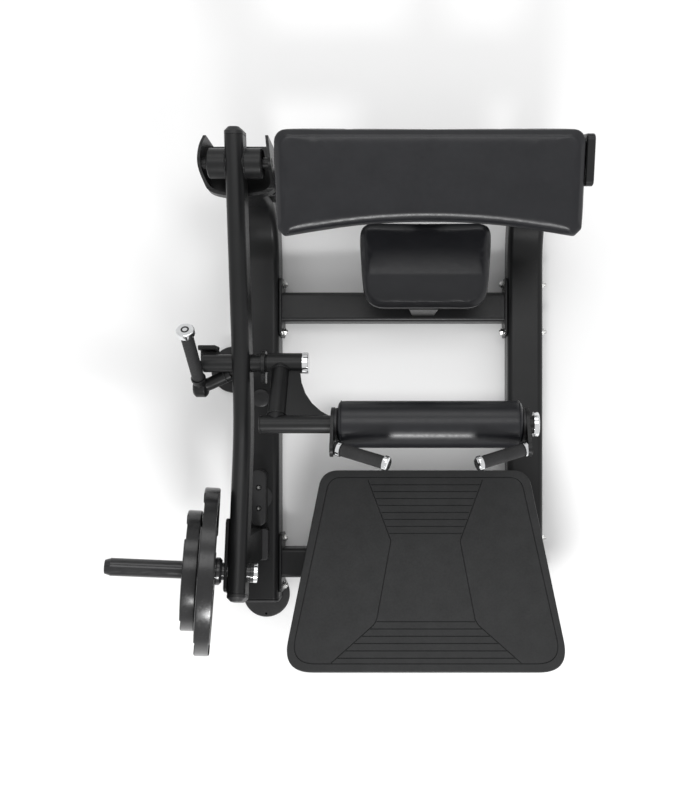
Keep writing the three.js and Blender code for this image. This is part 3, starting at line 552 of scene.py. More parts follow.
def add_light(name, place, width, depth, radiance, shape="RECTANGLE"):
    """An area light, sized in metres, that faces the machine."""
    data = bpy.data.lights.new(name, "AREA")
    data.shape = shape
    data.size = width
    data.size_y = depth
    data.energy = radiance * math.pi * width * depth
    light = bpy.data.objects.new(name, data)
    light.location = place
    light.rotation_euler = (Vector(LIGHTS_AIM) - Vector(place)).to_track_quat("-Z", "Y").to_euler()
    scene.collection.objects.link(light)


def add_lights():
    world = bpy.data.worlds.new("studio")
    world.use_nodes = True
    backdrop = world.node_tree.nodes["Background"]
    backdrop.inputs["Color"].default_value = (1, 1, 1, 1)
    backdrop.inputs["Strength"].default_value = WORLD_STRENGTH
    scene.world = world
    add_light("front_disc", (0.2, -2.3, 2.0), 0.8, 0.42, 46, "ELLIPSE")
    add_light("rear_softbox", (0.1, 2.7, 2.7), 2.6, 1.2, 2.0)
    add_light("overhead_softbox", (0.1, 1.25, 4.6), 3.2, 1.4, 2.6)


add_camera()
add_floor()
add_lights()


# ---- base frame ---------------------------------------------------------------------------
BEND_INSIDE, RAIL_CORNER = 141 * MM, 19 * MM
PAD_TILT = math.radians(15)


def add_rail(node):
    """A square tube with rounded corners: flat along the floor, then bent upright."""
    low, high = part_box(node)
    width = high.x - low.x
    half = width / 2
    section = rounded_rectangle(-half, -half, half, half, RAIL_CORNER)
    x = (low.x + high.x) / 2
    bend_y = high.y - BEND_INSIDE - width
    bend_z = low.z + width + BEND_INSIDE
    radius = BEND_INSIDE + half
    stations = [(Vector((x, low.y, low.z + half)), X, Z)]
    for angle in np.radians(np.linspace(-90, 0, 25)):
        out = Vector((0, math.cos(angle), math.sin(angle)))
        stations.append((Vector((x, bend_y, bend_z)) + out * radius, X, -out))
    stations.append((Vector((x, bend_y + radius, high.z)), X, -Y))
    rings = [[p + a * u + b * v for u, v in section] for p, a, b in stations]
    if node == "right_rail":
        for point in rings[-1]:
            point.z -= (high.y - point.y) * math.tan(PAD_TILT)
    tube = loft(node + "_tube", rings)
    dress(soften(tube, 1.5 * MM, 2, 60), COAT, node)


def add_rail_cap(node):
    low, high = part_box(node)
    turn = frame_matrix(Vector((0, high.y, 0)), X, Z, -Y)
    shape = rounded_rectangle(low.x, low.z, high.x, high.z, RAIL_CORNER)
    cap = prism(node + "_plug", shape, 0, high.y - low.y, turn)
    dress(soften(cap, 3.5 * MM, 4, 50), PLASTIC, node)


def add_foot(node, hole_side):
    """A rubber-soled steel disc with one fixing hole near its rim."""
    low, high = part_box(node)
    middle = Vector(((low.x + high.x) / 2, (low.y + high.y) / 2, low.z))
    radius, height = (high.x - low.x) / 2, high.z - low.z
    sole = 6 * MM
    profile = [
        (radius - 1.5 * MM, 0),
        (radius, 1.5 * MM),
        (radius, sole - 1 * MM),
        (radius - 1 * MM, sole),
        (radius - 2.2 * MM, sole),
        (radius - 2.2 * MM, height - 3 * MM),
        (radius - 3 * MM, height - 1 * MM),
        (radius - 5 * MM, height),
    ]
    disc = lathe(node + "_disc", profile, middle, Z, 96)
    hole_at = middle + Vector((0, hole_side * (radius - 12 * MM), 2 * MM))
    combine(disc, rod("hole", hole_at, hole_at + Z * 0.03, 3.6 * MM, sides=24))
    dress(soften(disc, 0.5 * MM, 2), RUBBER, node)


def hexagon(radius, scale=1.0):
    return [(u * scale, v * scale) for u, v in circle(radius, 6)]


def nut(name, start, axis, radius, height):
    """A hexagon with both rims chamfered."""
    first, second = axes_across(axis)
    levels = [(0, 0.93), (0.12, 1.0), (0.88, 1.0), (1, 0.93)]
    rings = [
        [start + axis * height * t + first * u + second * v for u, v in hexagon(radius, scale)]
        for t, scale in levels
    ]
    return loft(name, rings)


def threaded_end(name, start, axis, radius, length):
    """A bolt's end: fine thread rings and a chamfered tip."""
    pitch = 1.25 * MM
    turns = int((length - 1.5 * MM) / pitch)
    profile = []
    for i in range(turns):
        profile += [(radius, i * pitch), (radius - 0.6 * MM, (i + 0.5) * pitch)]
    profile += [(radius, turns * pitch), (radius - 1.2 * MM, length)]
    return lathe(name, profile, start, axis, 24)


def add_flange_bolt(node):
    """Head, washers, nut and threaded ends of a bolt through a rail and a flange."""
    low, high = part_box(node)
    inward = X if low.x < 0 else -X
    outer = low.x if low.x < 0 else high.x
    inner = high.x if low.x < 0 else low.x
    y, z = (low.y + high.y) / 2, (low.z + high.z) / 2
    tip, head, radius, shank = 8 * MM, 9 * MM, 11 * MM, 6 * MM
    head_face = Vector((outer, y, z)) + inward * (tip + head)
    nut_face = Vector((inner, y, z)) - inward * (head + 4 * MM)
    parts = []
    for face, way, end in ((head_face, -inward, tip), (nut_face, inward, 4 * MM)):
        on_washer = face + way * 1.7 * MM
        on_nut = face + way * (head - 0.5 * MM)
        parts.append(rod("washer", face + way * 0.1 * MM, on_washer, 12.5 * MM, 0.4 * MM, 40))
        parts.append(nut("nut", on_washer, way, radius, head - 1.7 * MM))
        parts.append(threaded_end("thread", on_nut, way, shank, end + 0.5 * MM))
    dress(soften(joined(node + "_set", parts), 0.3 * MM, 1), ZINC, node)


def socket_screw(name, place, axis, radius, height):
    """A cap screw's head with a hexagon socket."""
    edge = 0.8 * MM
    profile = [(radius, 0), (radius, height - edge), (radius - edge, height)]
    head = lathe(name, profile, place, axis, 32)
    first, second = axes_across(axis)
    bottom = place + axis * height * 0.35
    rings = [
        [p + first * u + second * v for u, v in hexagon(radius * 0.52)]
        for p in (bottom, place + axis * height * 1.5)
    ]
    return combine(head, loft("socket", rings))


def add_base():
    for node in ("left_rail", "right_rail"):
        add_rail(node)
        add_rail_cap(node + "_end_cap")
    for node in ("rear_cross_member", "front_cross_member"):
        keep_cad(node + "_tube", node, 1.6)
    for side in ("left", "right"):
        for i in range(1, 5):
            add_flange_bolt(f"{side}_flange_bolt_{i}")
        add_foot(side + "_front_foot", -1)
        add_foot(side + "_rear_foot", 1)
    add_foot("outrigger_foot", 1)
    keep_cad("outrigger_arm", "outrigger_bracket", 3)


BUMPER_SCREW_STEPS = (-31 * MM, 31 * MM)
BUMPER_RECESS = 7 * MM
PLUG_Y = 106


def add_stops():
    """The rubber pad under the arm's leg, the screwed bumper and a plug, all on the left rail."""
    keep_cad("stop_pad_rubber", "stop_pad", 1, 2, RUBBER)
    low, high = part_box("rail_bumper")
    x, y = (low.x + high.x) / 2, (low.y + high.y) / 2
    half_width, half_length = 21.5 * MM, (high.y - low.y) / 2
    shape = rounded_rectangle(-half_width, -half_length, half_width, half_length, 21 * MM, 14)
    place = Matrix.Translation((x, y, low.z))
    bumper = soften(prism("bumper", shape, 0, high.z - low.z, place), 3 * MM, 4)
    base_radius = (high.x - low.x) / 2
    base = rod("base", Vector((x, y, low.z)), Vector((x, y, low.z + 6 * MM)), base_radius, 1 * MM)
    seats = [Vector((x, y + step, high.z - BUMPER_RECESS)) for step in BUMPER_SCREW_STEPS]
    for seat in seats:
        combine(bumper, rod("counterbore", seat, seat + Z * 16 * MM, 8.6 * MM, sides=32))
    combine(bumper, base, "UNION")
    dress(bumper, RUBBER, "rail_bumper")
    for number, seat in enumerate(seats, 1):
        screw = socket_screw(f"bumper_screw_{number}", seat, Z, 5.6 * MM, 5 * MM)
        detail(screw, ZINC, "rail_bumper", "chrome")
    rail_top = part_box("left_rail_end_cap")[1].z
    dome = [(27, 0), (27, 3), (24, 5.5), (15, 7), (6, 7.4)]
    plug = turned("rail_plug", dome, at(RAIL_X, PLUG_Y, rail_top / MM), Z, 48)
    detail(plug, PLASTIC, "left_rail", "black_plastic")


add_base()
add_stops()


# ---- pivot cradle and hub -----------------------------------------------------------------
def weld_bead(name, middle, axis, radius, node, size=2.6 * MM):
    """A rippled fillet bead round a tube where it meets a face."""
    first, second = axes_across(axis)
    steps = 150
    rings = []
    for i in range(steps):
        a = 2 * math.pi * i / steps
        out = first * math.cos(a) + second * math.sin(a)
        ripple = size * (1 + 0.13 * math.sin(i * 2 * math.pi / 5))
        point = middle + out * radius
        rings.append([point + out * u * ripple + axis * v * ripple for u, v in circle(1, 8)])
    detail(loft(name, rings, wrap=True), COAT, node, angle=80)


CRADLE_LEFT, CRADLE_RIGHT, CRADLE_FRONT, CRADLE_REAR = -556, -362, 652, 797
CRADLE_BOTTOM, CRADLE_TOP, CRADLE_WALL = 362, 500, 8
RIM_LOW = 397
CLEAR = 50


def cradle_outline(inset):
    left, right, front = CRADLE_LEFT + inset, CRADLE_RIGHT - inset, CRADLE_FRONT + inset
    rear = CRADLE_REAR
    middle = (left + right) / 2
    return [
        *quadratic((left + 10, rear), (left - 6, 720), (left + 2, front + 28), 16),
        *quadratic((left + 2, front + 28), (left + 8, front + 2), (middle, front), 24)[1:],
        *quadratic((middle, front), (right - 8, front + 2), (right - 2, front + 28), 24)[1:],
        *quadratic((right - 2, front + 28), (right + 6, 720), (right - 10, rear), 16)[1:],
    ]


def add_cradle():
    """A thin-walled cup, open at the top and the rear, that holds the arm's hub."""
    low, top, behind = RIM_LOW, CRADLE_TOP, CRADLE_REAR + 60
    shell = prism("cradle_shell", cradle_outline(0), CRADLE_BOTTOM, top, PLAN)
    hollow_outline = cradle_outline(CRADLE_WALL) + [(-392, behind), (-526, behind)]
    floor = CRADLE_BOTTOM + CRADLE_WALL
    combine(shell, prism("hollow", hollow_outline, floor, top + CLEAR, PLAN))
    rim = [
        (CRADLE_FRONT - 52, low),
        *bezier((668, low), (690, low + 3), (690, top), (735, top), 20),
        *bezier((735, top), (775, top), (780, top - 20), (800, top - 30), 16)[1:],
        (850, top - 30),
        (850, top + 100),
        (CRADLE_FRONT - 52, top + 100),
    ]
    width = CRADLE_RIGHT - CRADLE_LEFT + 2 * CLEAR
    combine(shell, prism("rim_cut", rim, 0, width, side_frame(CRADLE_LEFT - CLEAR)))
    dress(soften(shell, 2.2 * MM, 3, 40), COAT, "pivot_cradle")

    pin_low, pin_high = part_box("pivot_pin")
    y, z = (pin_low.y + pin_high.y) / 2, (pin_low.z + pin_high.z) / 2
    radius, length = (pin_high.z - pin_low.z) / 2, pin_high.x - pin_low.x
    profile = [
        (radius * 0.5, 0),
        (radius * 0.55, 1 * MM),
        (radius - 2 * MM, 1 * MM),
        (radius, 3 * MM),
        (radius, length - 3 * MM),
        (radius - 2 * MM, length - 1 * MM),
        (radius * 0.55, length - 1 * MM),
        (radius * 0.5, length),
    ]
    pin = lathe("pivot_pin_shaft", profile, Vector((pin_low.x, y, z)), X, 48)
    dress(soften(pin, 0.4 * MM, 2), COAT, "pivot_pin")
    hub_low, hub_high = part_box("pivot_hub")
    hub_radius, hub_length = (hub_high.z - hub_low.z) / 2, hub_high.x - hub_low.x
    lip = 3 * MM
    hub_profile = [
        (radius + 1 * MM, 0),
        (hub_radius - 6 * MM, 0),
        (hub_radius - lip, 1.5 * MM),
        (hub_radius, 1.5 * MM + lip),
        (hub_radius, hub_length - 1.5 * MM - lip),
        (hub_radius - lip, hub_length - 1.5 * MM),
        (hub_radius - 6 * MM, hub_length),
        (radius + 1 * MM, hub_length),
        (radius + 1 * MM, 0),
    ]
    hub = lathe("pivot_hub_sleeve", hub_profile, Vector((hub_low.x, y, z)), X, 96)
    dress(soften(hub, 0.8 * MM, 2), COAT, "pivot_hub")
    arm_low, arm_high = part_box("main_arm")
    for side, x in (("outer", arm_low.x), ("inner", arm_high.x)):
        weld_bead(f"hub_weld_{side}", Vector((x, y, z)), X, hub_radius, "pivot_hub")


add_cradle()


# ---- movement arm -------------------------------------------------------------------------
ARM_X = -458
ARM_POINTS = {"rear": (793, 480), "knee": (30, 337), "front": (-437.7, 442.1)}
ARM_SIZE = (50, 95)
ARM_ROUND = 23
KNEE_REACH = 110
ARM_CAP, CAP_CUT = 20 * MM, 11 * MM


def arm_end(which):
    """The centre of one end of the arm, with its outward and upward directions."""
    end, knee = (Vector((0, *ARM_POINTS[key])) for key in (which, "knee"))
    out = (end - knee).normalized()
    up = X.cross(out)
    return at(ARM_X, *ARM_POINTS[which]), out, up if up.z > 0 else -up


def add_arm():
    rear, knee, front = (Vector(ARM_POINTS[key]) for key in ("rear", "knee", "front"))
    bend = rounded_corner(front, knee, rear, KNEE_REACH, 24)
    path = [at(ARM_X, *p) for p in (tuple(front), *bend, tuple(rear))]
    half_width, half_height = ARM_SIZE[0] / 2 * MM, ARM_SIZE[1] / 2 * MM
    corner = ARM_ROUND * MM
    section = rounded_rectangle(-half_width, -half_height, half_width, half_height, corner, 12)
    stations = []
    for i, point in enumerate(path):
        way = (path[min(i + 1, len(path) - 1)] - path[max(i - 1, 0)]).normalized()
        stations.append((point, X, way.cross(X)))
    arm = sweep("main_arm_tube", section, stations)
    dress(soften(arm, 1 * MM, 2, 60), COAT, "main_arm")

    for which in ("rear", "front"):
        node = f"arm_{which}_cap"
        place, out, up = arm_end(which)
        shape = rounded_rectangle(-half_height, -half_width, half_height, half_width, corner, 12)
        turn = frame_matrix(place + out * 0.3 * MM, up, out.cross(up), out)
        high, wide = half_height - CAP_CUT, half_width - CAP_CUT
        outer = rounded_rectangle(-high, -wide, high, wide, corner - CAP_CUT, 12)
        levels = [(shape, 0), (shape, ARM_CAP - CAP_CUT), (outer, ARM_CAP)]
        cap = layered(node + "_plug", levels, turn)
        dress(soften(cap, 1.2 * MM, 3, 30), PLASTIC, node)

    leg = from_cad("stop_leg_post", "stop_leg", 3 * MM, 3)
    low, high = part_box("stop_leg")
    for side in (-1, 1):
        x = (low.x + high.x) / 2 + side * 11 * MM
        start, end = Vector((x, low.y, low.z - 0.01)), Vector((x, low.y, high.z + 0.01))
        combine(leg, rod("flute", start, end, 2 * MM, sides=16))
    dress(leg, COAT, "stop_leg")
    keep_cad("horn_plate_flange", "horn_plate", 2)


HORN_RISE, HORN_YAW = math.radians(10.5), math.radians(4)
HORN_LEVEL = Vector((-math.cos(HORN_YAW), math.sin(HORN_YAW), 0))
HORN_AXIS = HORN_LEVEL * math.cos(HORN_RISE) + Z * math.sin(HORN_RISE)
HORN_CENTRE = at(ARM_X, -378, 431)


def along_horn(name, profile, sides=96):
    """Turns a profile in millimetres about the weight horn."""
    return turned(name, profile, HORN_CENTRE, HORN_AXIS, sides)


def add_horn():
    radius, length = 24, 350
    rod_profile = [(27, -40), (27, -31), (radius, -31), (radius, length - 15)]
    rod_profile += [(radius - 1, length - 14), (radius - 5, length - 1), (radius - 6, length)]
    horn = along_horn("weight_horn_bar", rod_profile)
    end_face = [(radius - 7, length - 0.5), (radius - 7, length + 0.3), (radius - 9, length + 0.3)]
    dress(soften(horn, 0.6 * MM, 2), HORN, "weight_horn")
    plug = along_horn("horn_end_plug", end_face, 64)
    detail(plug, PLASTIC, "weight_horn", "black_plastic")
    ring = [(24, 44), (30, 44), (36.5, 50), (37.5, 52), (37.5, 60), (35.5, 62), (24, 62), (24, 44)]
    collar = along_horn("horn_collar", ring)
    detail(soften(collar, 0.5 * MM, 2), HORN, "weight_horn")
    cap = [(27, -40.3), (27, -49), (26.2, -50.8), (24, -51.8), (19, -52), (18, -50.8), (6, -50.8)]
    inner = along_horn("horn_inner_cap_disc", cap)
    dress(soften(inner, 0.4 * MM, 2), CHROME, "horn_inner_cap")
    face = HORN_CENTRE + HORN_AXIS * 36 * MM
    weld_bead("horn_weld", face, HORN_AXIS, radius * MM, "horn_plate")


# ---- weight plates ------------------------------------------------------------------------
GRIP_ANGLES = (56, -64, 176)
GRIP_HALF = 18
SLOT_HALF = 15


def horn_frame(distance):
    """The frame across the horn at a distance in metres: first axis up, third along the horn."""
    first, second = axes_across(HORN_AXIS)
    return frame_matrix(HORN_CENTRE + HORN_AXIS * distance, first, second, HORN_AXIS)


def sector(inside, outside, middle, half, steps=14):
    return [
        *arc(0, 0, outside, middle - half, middle + half, steps),
        *arc(0, 0, inside, middle + half, middle - half, steps),
    ]


def slot_outline(radius, middle):
    """A curved slot with rounded corners, for the fingers."""
    inside, outside, corner = 0.56 * radius, 0.85 * radius, 0.055 * radius
    outline = []
    for here, there, sign in ((outside, inside, 1), (inside, outside, -1)):
        end = middle + sign * SLOT_HALF
        turn_here, turn_there = (math.degrees(corner / r) for r in (here, there))
        reach = sign * (SLOT_HALF - turn_here)
        outline += arc(0, 0, here, middle - reach, middle + reach, 10)
        outline += quadratic(outline[-1], polar(here, end), polar(here - sign * corner, end), 6)[1:]
        start, goal = polar(there + sign * corner, end), polar(there, end - sign * turn_there)
        outline += quadratic(start, polar(there, end), goal, 6)[:-1]
    return outline


def add_weight_plate(node, radius, start, thick):
    """A coated plate with raised rims, a raised hub and three rim grips."""
    end, web, bore = start + thick, 7, 25.4
    half = [
        (bore, start),
        (bore + 24, start),
        (bore + 30, start + web),
        (radius - 34, start + web),
        (radius - 28, start),
        (radius - 5, start),
        (radius - 1.5, start + 1.5),
        (radius, start + 5),
    ]
    other = [(r, end - (s - start)) for r, s in reversed(half)]
    plate = along_horn(node + "_casting", [*half, *other, half[0]], 128)
    shapes = [slot_outline(radius * MM, a) for a in GRIP_ANGLES]
    tools = [
        prism("slot", shape, (start - 10) * MM, (end + 10) * MM, horn_frame(0)) for shape in shapes
    ]
    combine(plate, joined("slots", tools))
    thin = 4
    tools = []
    for angle in GRIP_ANGLES:
        shape = sector(0.62 * radius * MM, 1.1 * radius * MM, angle, GRIP_HALF)
        for s0, s1 in ((start - 10, start + thin), (end - thin, end + 10)):
            tools.append(prism("rim", shape, s0 * MM, s1 * MM, horn_frame(0)))
    combine(plate, joined("rims", tools))
    dress(soften(plate, 1.3 * MM, 2, 30), PLATE, node)
    face = start - 0.1
    hub = [(bore, start + 0.4), (bore + 9, start + 0.4), (bore + 9, face), (bore, face)]
    far = [(r, end - (s - start)) for r, s in hub]
    rings = [along_horn("ring", [*profile, profile[0]]) for profile in (hub, far)]
    insert = joined(node + "_bush", rings)
    detail(insert, ZINC, node, "chrome")


add_arm()
add_horn()
add_weight_plate("large_weight_plate", 225, 62.4, 42)
add_weight_plate("small_weight_plate", 161, 104.8, 40)


# ---- hip-pad assembly ---------------------------------------------------------------------
SHAFT_Y, SHAFT_Z = 194, 368
BAR_X, BAR_Y, BAR_Z = -390, 23, 480
COLLAR_X, COLLAR_WIDTH = -404, 12


def across(name, profile, x, y, z, sides=64):
    """Turns a profile in millimetres about a line along X that starts at the given point."""
    return turned(name, profile, at(x, y, z), X, sides)


def add_shaft():
    shaft_profile = [(19, 0), (24, 0), (25, 1.5), (25, 275.7), (0.5, 275.7)]
    shaft = across("cross_shaft_bar", shaft_profile, -566, SHAFT_Y, SHAFT_Z, 96)
    dress(soften(shaft, 0.4 * MM, 2), COAT, "cross_shaft")
    cap_profile = [(29.5, 0.3), (29.5, 13.5), (28.6, 15.8), (26, 17.4), (22, 18), (2, 17.6)]
    cap = across("cross_shaft_cap_disc", cap_profile, -290.3, SHAFT_Y, SHAFT_Z, 96)
    dress(soften(cap, 0.3 * MM, 2), CHROME, "cross_shaft_cap")

    y, z = SHAFT_Y, SHAFT_Z
    outline = [
        (y - 18, z - 68),
        (y + 52, z - 68),
        (y + 52, z - 8),
        (y + 38, z - 8),
        (y + 38, z - 44),
        (y + 8, z - 44),
        (y + 8, z),
        (y - 18, z),
    ]
    tab = soften(prism("stop_tab", outline, 0, 50, side_frame(-585)), 3 * MM, 3)
    detail(tab, COAT, "cross_shaft")

    disc_profile = [(26, 0), (34, 0), (35, 1), (35, 11), (34, 12), (26, 12), (26, 0)]
    disc = across("lock_collar_ring", disc_profile, COLLAR_X, y, z)
    ear = rounded_rectangle(y - 56, z - 16, y - 20, z + 16, 8)
    combine(disc, prism("ear", ear, 0, COLLAR_WIDTH, side_frame(COLLAR_X)), "UNION")
    dress(soften(disc, 0.6 * MM, 2), COAT, "lock_collar")
    for number, step in enumerate((-7, 7), 1):
        start = at(COLLAR_X + COLLAR_WIDTH / 2, y - 38 + step, z + 15.6)
        screw = socket_screw(f"lock_screw_{number}", start, Z, 4.2 * MM, 4.5 * MM)
        detail(screw, OXIDE, "lock_collar")


def add_bracket():
    """The tube between the two shafts, with its curved gusset and weld beads."""
    keep_cad("hip_pad_bracket_weldment", "hip_pad_bracket", 1, 2)
    sleeve = ring("bracket_sleeve", at(-388, SHAFT_Y, SHAFT_Z), X, 25.2, 28.4, 0, 96.5)
    detail(sleeve, COAT, "hip_pad_bracket")
    start, end = at(-350, SHAFT_Y, SHAFT_Z), at(-350, BAR_Y, BAR_Z)
    way = (end - start).normalized()
    for name, place in (("low", start + way * 27 * MM), ("high", end - way * 27 * MM)):
        weld_bead(f"bracket_weld_{name}", place, way, 25 * MM, "hip_pad_bracket", 2.2 * MM)
    bar_profile = [(18, 0), (23, 0), (24, 1.2), (24, 726), (0.5, 726)]
    bar = across("hip_pad_bar_tube", bar_profile, BAR_X, BAR_Y, BAR_Z, 96)
    dress(soften(bar, 0.3 * MM, 2), COAT, "hip_pad_bar")
    cap_profile = [(33, 0.3), (33, 10.5), (32, 13), (29.5, 14.6), (25, 15), (22, 14), (2, 13.6)]
    cap = across("hip_pad_bar_cap_disc", cap_profile, 336, BAR_Y, BAR_Z, 96)
    dress(soften(cap, 0.3 * MM, 2), CHROME, "hip_pad_bar_cap")
    left_cap = [(24.5, -3), (24.5, -0.2), (2, -0.2), (2, -3)]
    end_disc = across("hip_pad_bar_end_disc", [*left_cap, left_cap[0]], BAR_X, BAR_Y, BAR_Z)
    detail(end_disc, PLASTIC, "hip_pad_bar", "black_plastic")
    spacer_profile = [(24.4, 0), (44, 0), (44, 6.5), (24.4, 6.5), (24.4, 0)]
    for name, x in (("left", -191.5), ("right", 307)):
        spacer = across(f"roller_spacer_{name}", spacer_profile, x, BAR_Y, BAR_Z)
        soften(spacer, 0.4 * MM, 2)
        detail(spacer, PLASTIC, "hip_pad_bar", "black_plastic")


HANDLE_ROOT, HANDLE_TIP = (-182, -40, 540), (-51, -78, 590)
HANDLE_MIDDLE = 66


def handle_line(mirror):
    """The ends of one handle's grip. The right handle mirrors the left about their middle."""
    ends = (HANDLE_ROOT, HANDLE_TIP)
    return [at(2 * HANDLE_MIDDLE - x if mirror else x, y, z) for x, y, z in ends]


GRIP_RADIUS, GRIP_BORE = 17, 11.4
KNURL_DEPTH, KNURL_TURNS, KNURL_SLANT = 0.55, 9, 0.62
GRIP_EDGE, EDGE_DROP = 2.5, 1.4


def knurled_grip(name, start, way, s0, s1):
    """A rubber sleeve with crossing diagonal grooves, which fade out at its rounded ends."""
    first, second = axes_across(way)
    sides, pitch = 144, 0.72
    count = int((s1 - s0) / pitch)
    inside = [(first * u + second * v) * GRIP_BORE * MM for u, v in circle(1, sides)]
    rings = [[start + way * s0 * MM + p for p in inside]]
    for i in range(count + 1):
        s = s0 + (s1 - s0) * i / count
        edge = max(0, min(1, (s - s0) / GRIP_EDGE, (s1 - s) / GRIP_EDGE))
        row = []
        for u, v in circle(1, sides):
            turn = math.atan2(v, u) * KNURL_TURNS
            cross = max(math.cos(turn + s * KNURL_SLANT), math.cos(turn - s * KNURL_SLANT))
            depth = KNURL_DEPTH * max(0.0, (cross - 0.8) / 0.2) * edge
            r = GRIP_RADIUS - depth - EDGE_DROP * (1 - edge) ** 2
            row.append(start + way * s * MM + (first * u + second * v) * r * MM)
        rings.append(row)
    rings.append([start + way * s1 * MM + p for p in inside])
    return loft(name, rings, wrap=True)


def add_handle(side, mirror):
    root, tip = handle_line(mirror)
    way, length = (tip - root).normalized(), (tip - root).length / MM
    name = f"{side}_handle"
    keep_cad(name + "_yoke", name, 1, 2)
    detail(ring(name + "_ferrule", root, way, 12, 19.4, 3, 14), CHROME, name, "chrome")
    grip = knurled_grip(name + "_sleeve", root, way, 14.4, length - 8)
    dress(grip, GRIP, name + "_grip", angle=60)
    profile = [
        (19.5, length - 7.6),
        (19.5, length + 1),
        (18.4, length + 4),
        (15.5, length + 5.4),
        (8, length + 6),
        (2, length + 6),
    ]
    cap = turned(name + "_end", profile, root, way, 96)
    dress(soften(cap, 0.3 * MM, 2), CHROME, name + "_cap")
    recess = ring(name + "_plug", root, way, 2, 3.6, length + 5.6, length + 6.3, 0.2)
    detail(recess, PLASTIC, name + "_cap", "black_plastic")


def add_lever():
    """A bar that leaves the cross shaft, bends, and rises through a foam grip to a chrome cap."""
    root, corner, tip = at(-493, 166, 352), at(-580, 127, 338), at(-580, 269, 532)
    way, length = (tip - corner).normalized(), (tip - corner).length / MM
    back = (root - corner).normalized()
    bend = quadratic(corner + back * 34 * MM, corner, corner + way * 30 * MM, 16)
    path = [root, *(Vector(p) for p in bend), corner + way * 41 * MM]
    tube = sweep("lever_bar", circle(17.8 * MM, 56), along_path(path))
    detail(soften(tube, 1 * MM, 2), COAT, "cross_shaft")
    neck = ring("lever_ferrule", corner, way, 11, 20.5, 37, 46, 1.2)
    detail(neck, COAT, "cross_shaft")
    boss = ring("lever_boss", corner, X, 2, 26, -20, 20, 7)
    detail(soften(boss, 2 * MM, 3), COAT, "cross_shaft")
    weld_at = at(-507, 160, 350)
    weld_bead("lever_weld", weld_at, -back, 17.5 * MM, "cross_shaft", 2.2 * MM)
    grip = knurled_grip("lever_sleeve", corner, way, 46.4, length - 15)
    dress(grip, GRIP, "lever_grip", angle=60)
    top = length + 2
    profile = [(24, -17), (24, -3), (22.8, -0.8), (20, 0), (10, 0.4), (2, 0.4)]
    cap = turned("lever_end_cap", profile, corner + way * top * MM, way, 96)
    dress(soften(cap, 0.4 * MM, 2), CHROME, "lever_cap")
    plug = ring("lever_cap_groove", corner, way, 6.5, 11, top - 1, top + 0.9, 0.3)
    detail(plug, PLASTIC, "lever_cap", "black_plastic")


add_shaft()
add_bracket()
add_handle("left", False)
add_handle("right", True)
add_lever()


# ---- upholstery ---------------------------------------------------------------------------
VOXEL = 4 * MM
PIPING_RADIUS, SEAM_RADIUS, THREAD_RADIUS = 1.6, 1.5, 1.2
SKIN_PRESSURE, PUFF_FRAMES = 4.0, 20


def remesh(obj):
    step = obj.modifiers.new("even", "REMESH")
    step.mode = "VOXEL"
    step.voxel_size = VOXEL
    return bake(obj)


def puff(obj, cap):
    """Swells a closed skin as cloth under pressure. Each point may move by a capped amount."""
    start = [v.co.copy() for v in obj.data.vertices]
    cloth = obj.modifiers.new("skin", "CLOTH")
    cloth.settings.use_pressure = True
    cloth.settings.uniform_pressure_force = SKIN_PRESSURE
    cloth.settings.tension_stiffness = 40
    cloth.settings.compression_stiffness = 40
    cloth.settings.shear_stiffness = 20
    cloth.settings.bending_stiffness = 4
    cloth.settings.effector_weights.gravity = 0
    cloth.collision_settings.use_collision = False
    for number in range(1, PUFF_FRAMES + 1):
        scene.frame_set(number)
    bake(obj)
    scene.frame_set(1)
    for vertex, old in zip(obj.data.vertices, start):
        move = vertex.co - old
        if move.length > cap:
            vertex.co = old + move.normalized() * cap


def smooth_skin(obj, rounds):
    step = obj.modifiers.new("smooth", "SMOOTH")
    step.iterations = rounds
    step.factor = 0.5
    bake(obj)
    fine = obj.modifiers.new("fine", "SUBSURF")
    fine.levels = 1
    fine.render_levels = 1
    return bake(obj)


def cushion(obj, node, cap, rounds, place=None):
    """Turns a foam shape into an upholstered pad with a slightly swollen skin."""
    remesh(obj)
    puff(obj, cap)
    smooth_skin(obj, rounds)
    if place is not None:
        obj.data.transform(place)
    dress(obj, VINYL, node, angle=180)


def piping(name, outline, matrix, w, node):
    """A cord along an outline at one height of its own frame."""
    points = [matrix @ Vector((u, v, w)) for u, v in outline]
    up = (matrix.to_3x3() @ Z).normalized()
    count = len(points)
    stations = []
    for i, point in enumerate(points):
        way = (points[(i + 1) % count] - points[i - 1]).normalized()
        stations.append((point, up, way.cross(up)))
    cord = sweep(name, circle(PIPING_RADIUS * MM, 10), stations, wrap=True)
    detail(cord, VINYL, node, angle=180)


def seam_ring(name, middle, radius, node):
    """A cord round a line along X."""
    stations = []
    for u, v in circle(1, 128):
        out = Z * u + Y * -v
        stations.append((middle + out * radius * MM, out, X))
    cord = sweep(name, circle(SEAM_RADIUS * MM, 8), stations, wrap=True)
    detail(cord, VINYL, node, angle=180)


# The back pad lies in a frame tilted about X: millimetres from the middle of its face.
PAD_PLACE = Matrix.Translation(at(56.5, 623, 655)) @ Matrix.Rotation(PAD_TILT, 4, "X")
PAD_FRAME = PAD_PLACE @ TO_METRES
PAD_HALF, PAD_REAR, PAD_THICK = 387.5, 127.5, 75


def pad_outline(inset, front_inset=None, cut=18, corner=30):
    half, rear = PAD_HALF - inset, PAD_REAR - inset
    front = -PAD_REAR + (inset if front_inset is None else front_inset)
    return [
        *quadratic((-half + cut, front), (0, front + 70), (half - cut, front), 60),
        (half, front + cut),
        *arc(half - corner, rear - corner, corner, 0, 90, 10),
        *arc(-half + corner, rear - corner, corner, 90, 180, 10),
        (-half, front + cut),
    ]


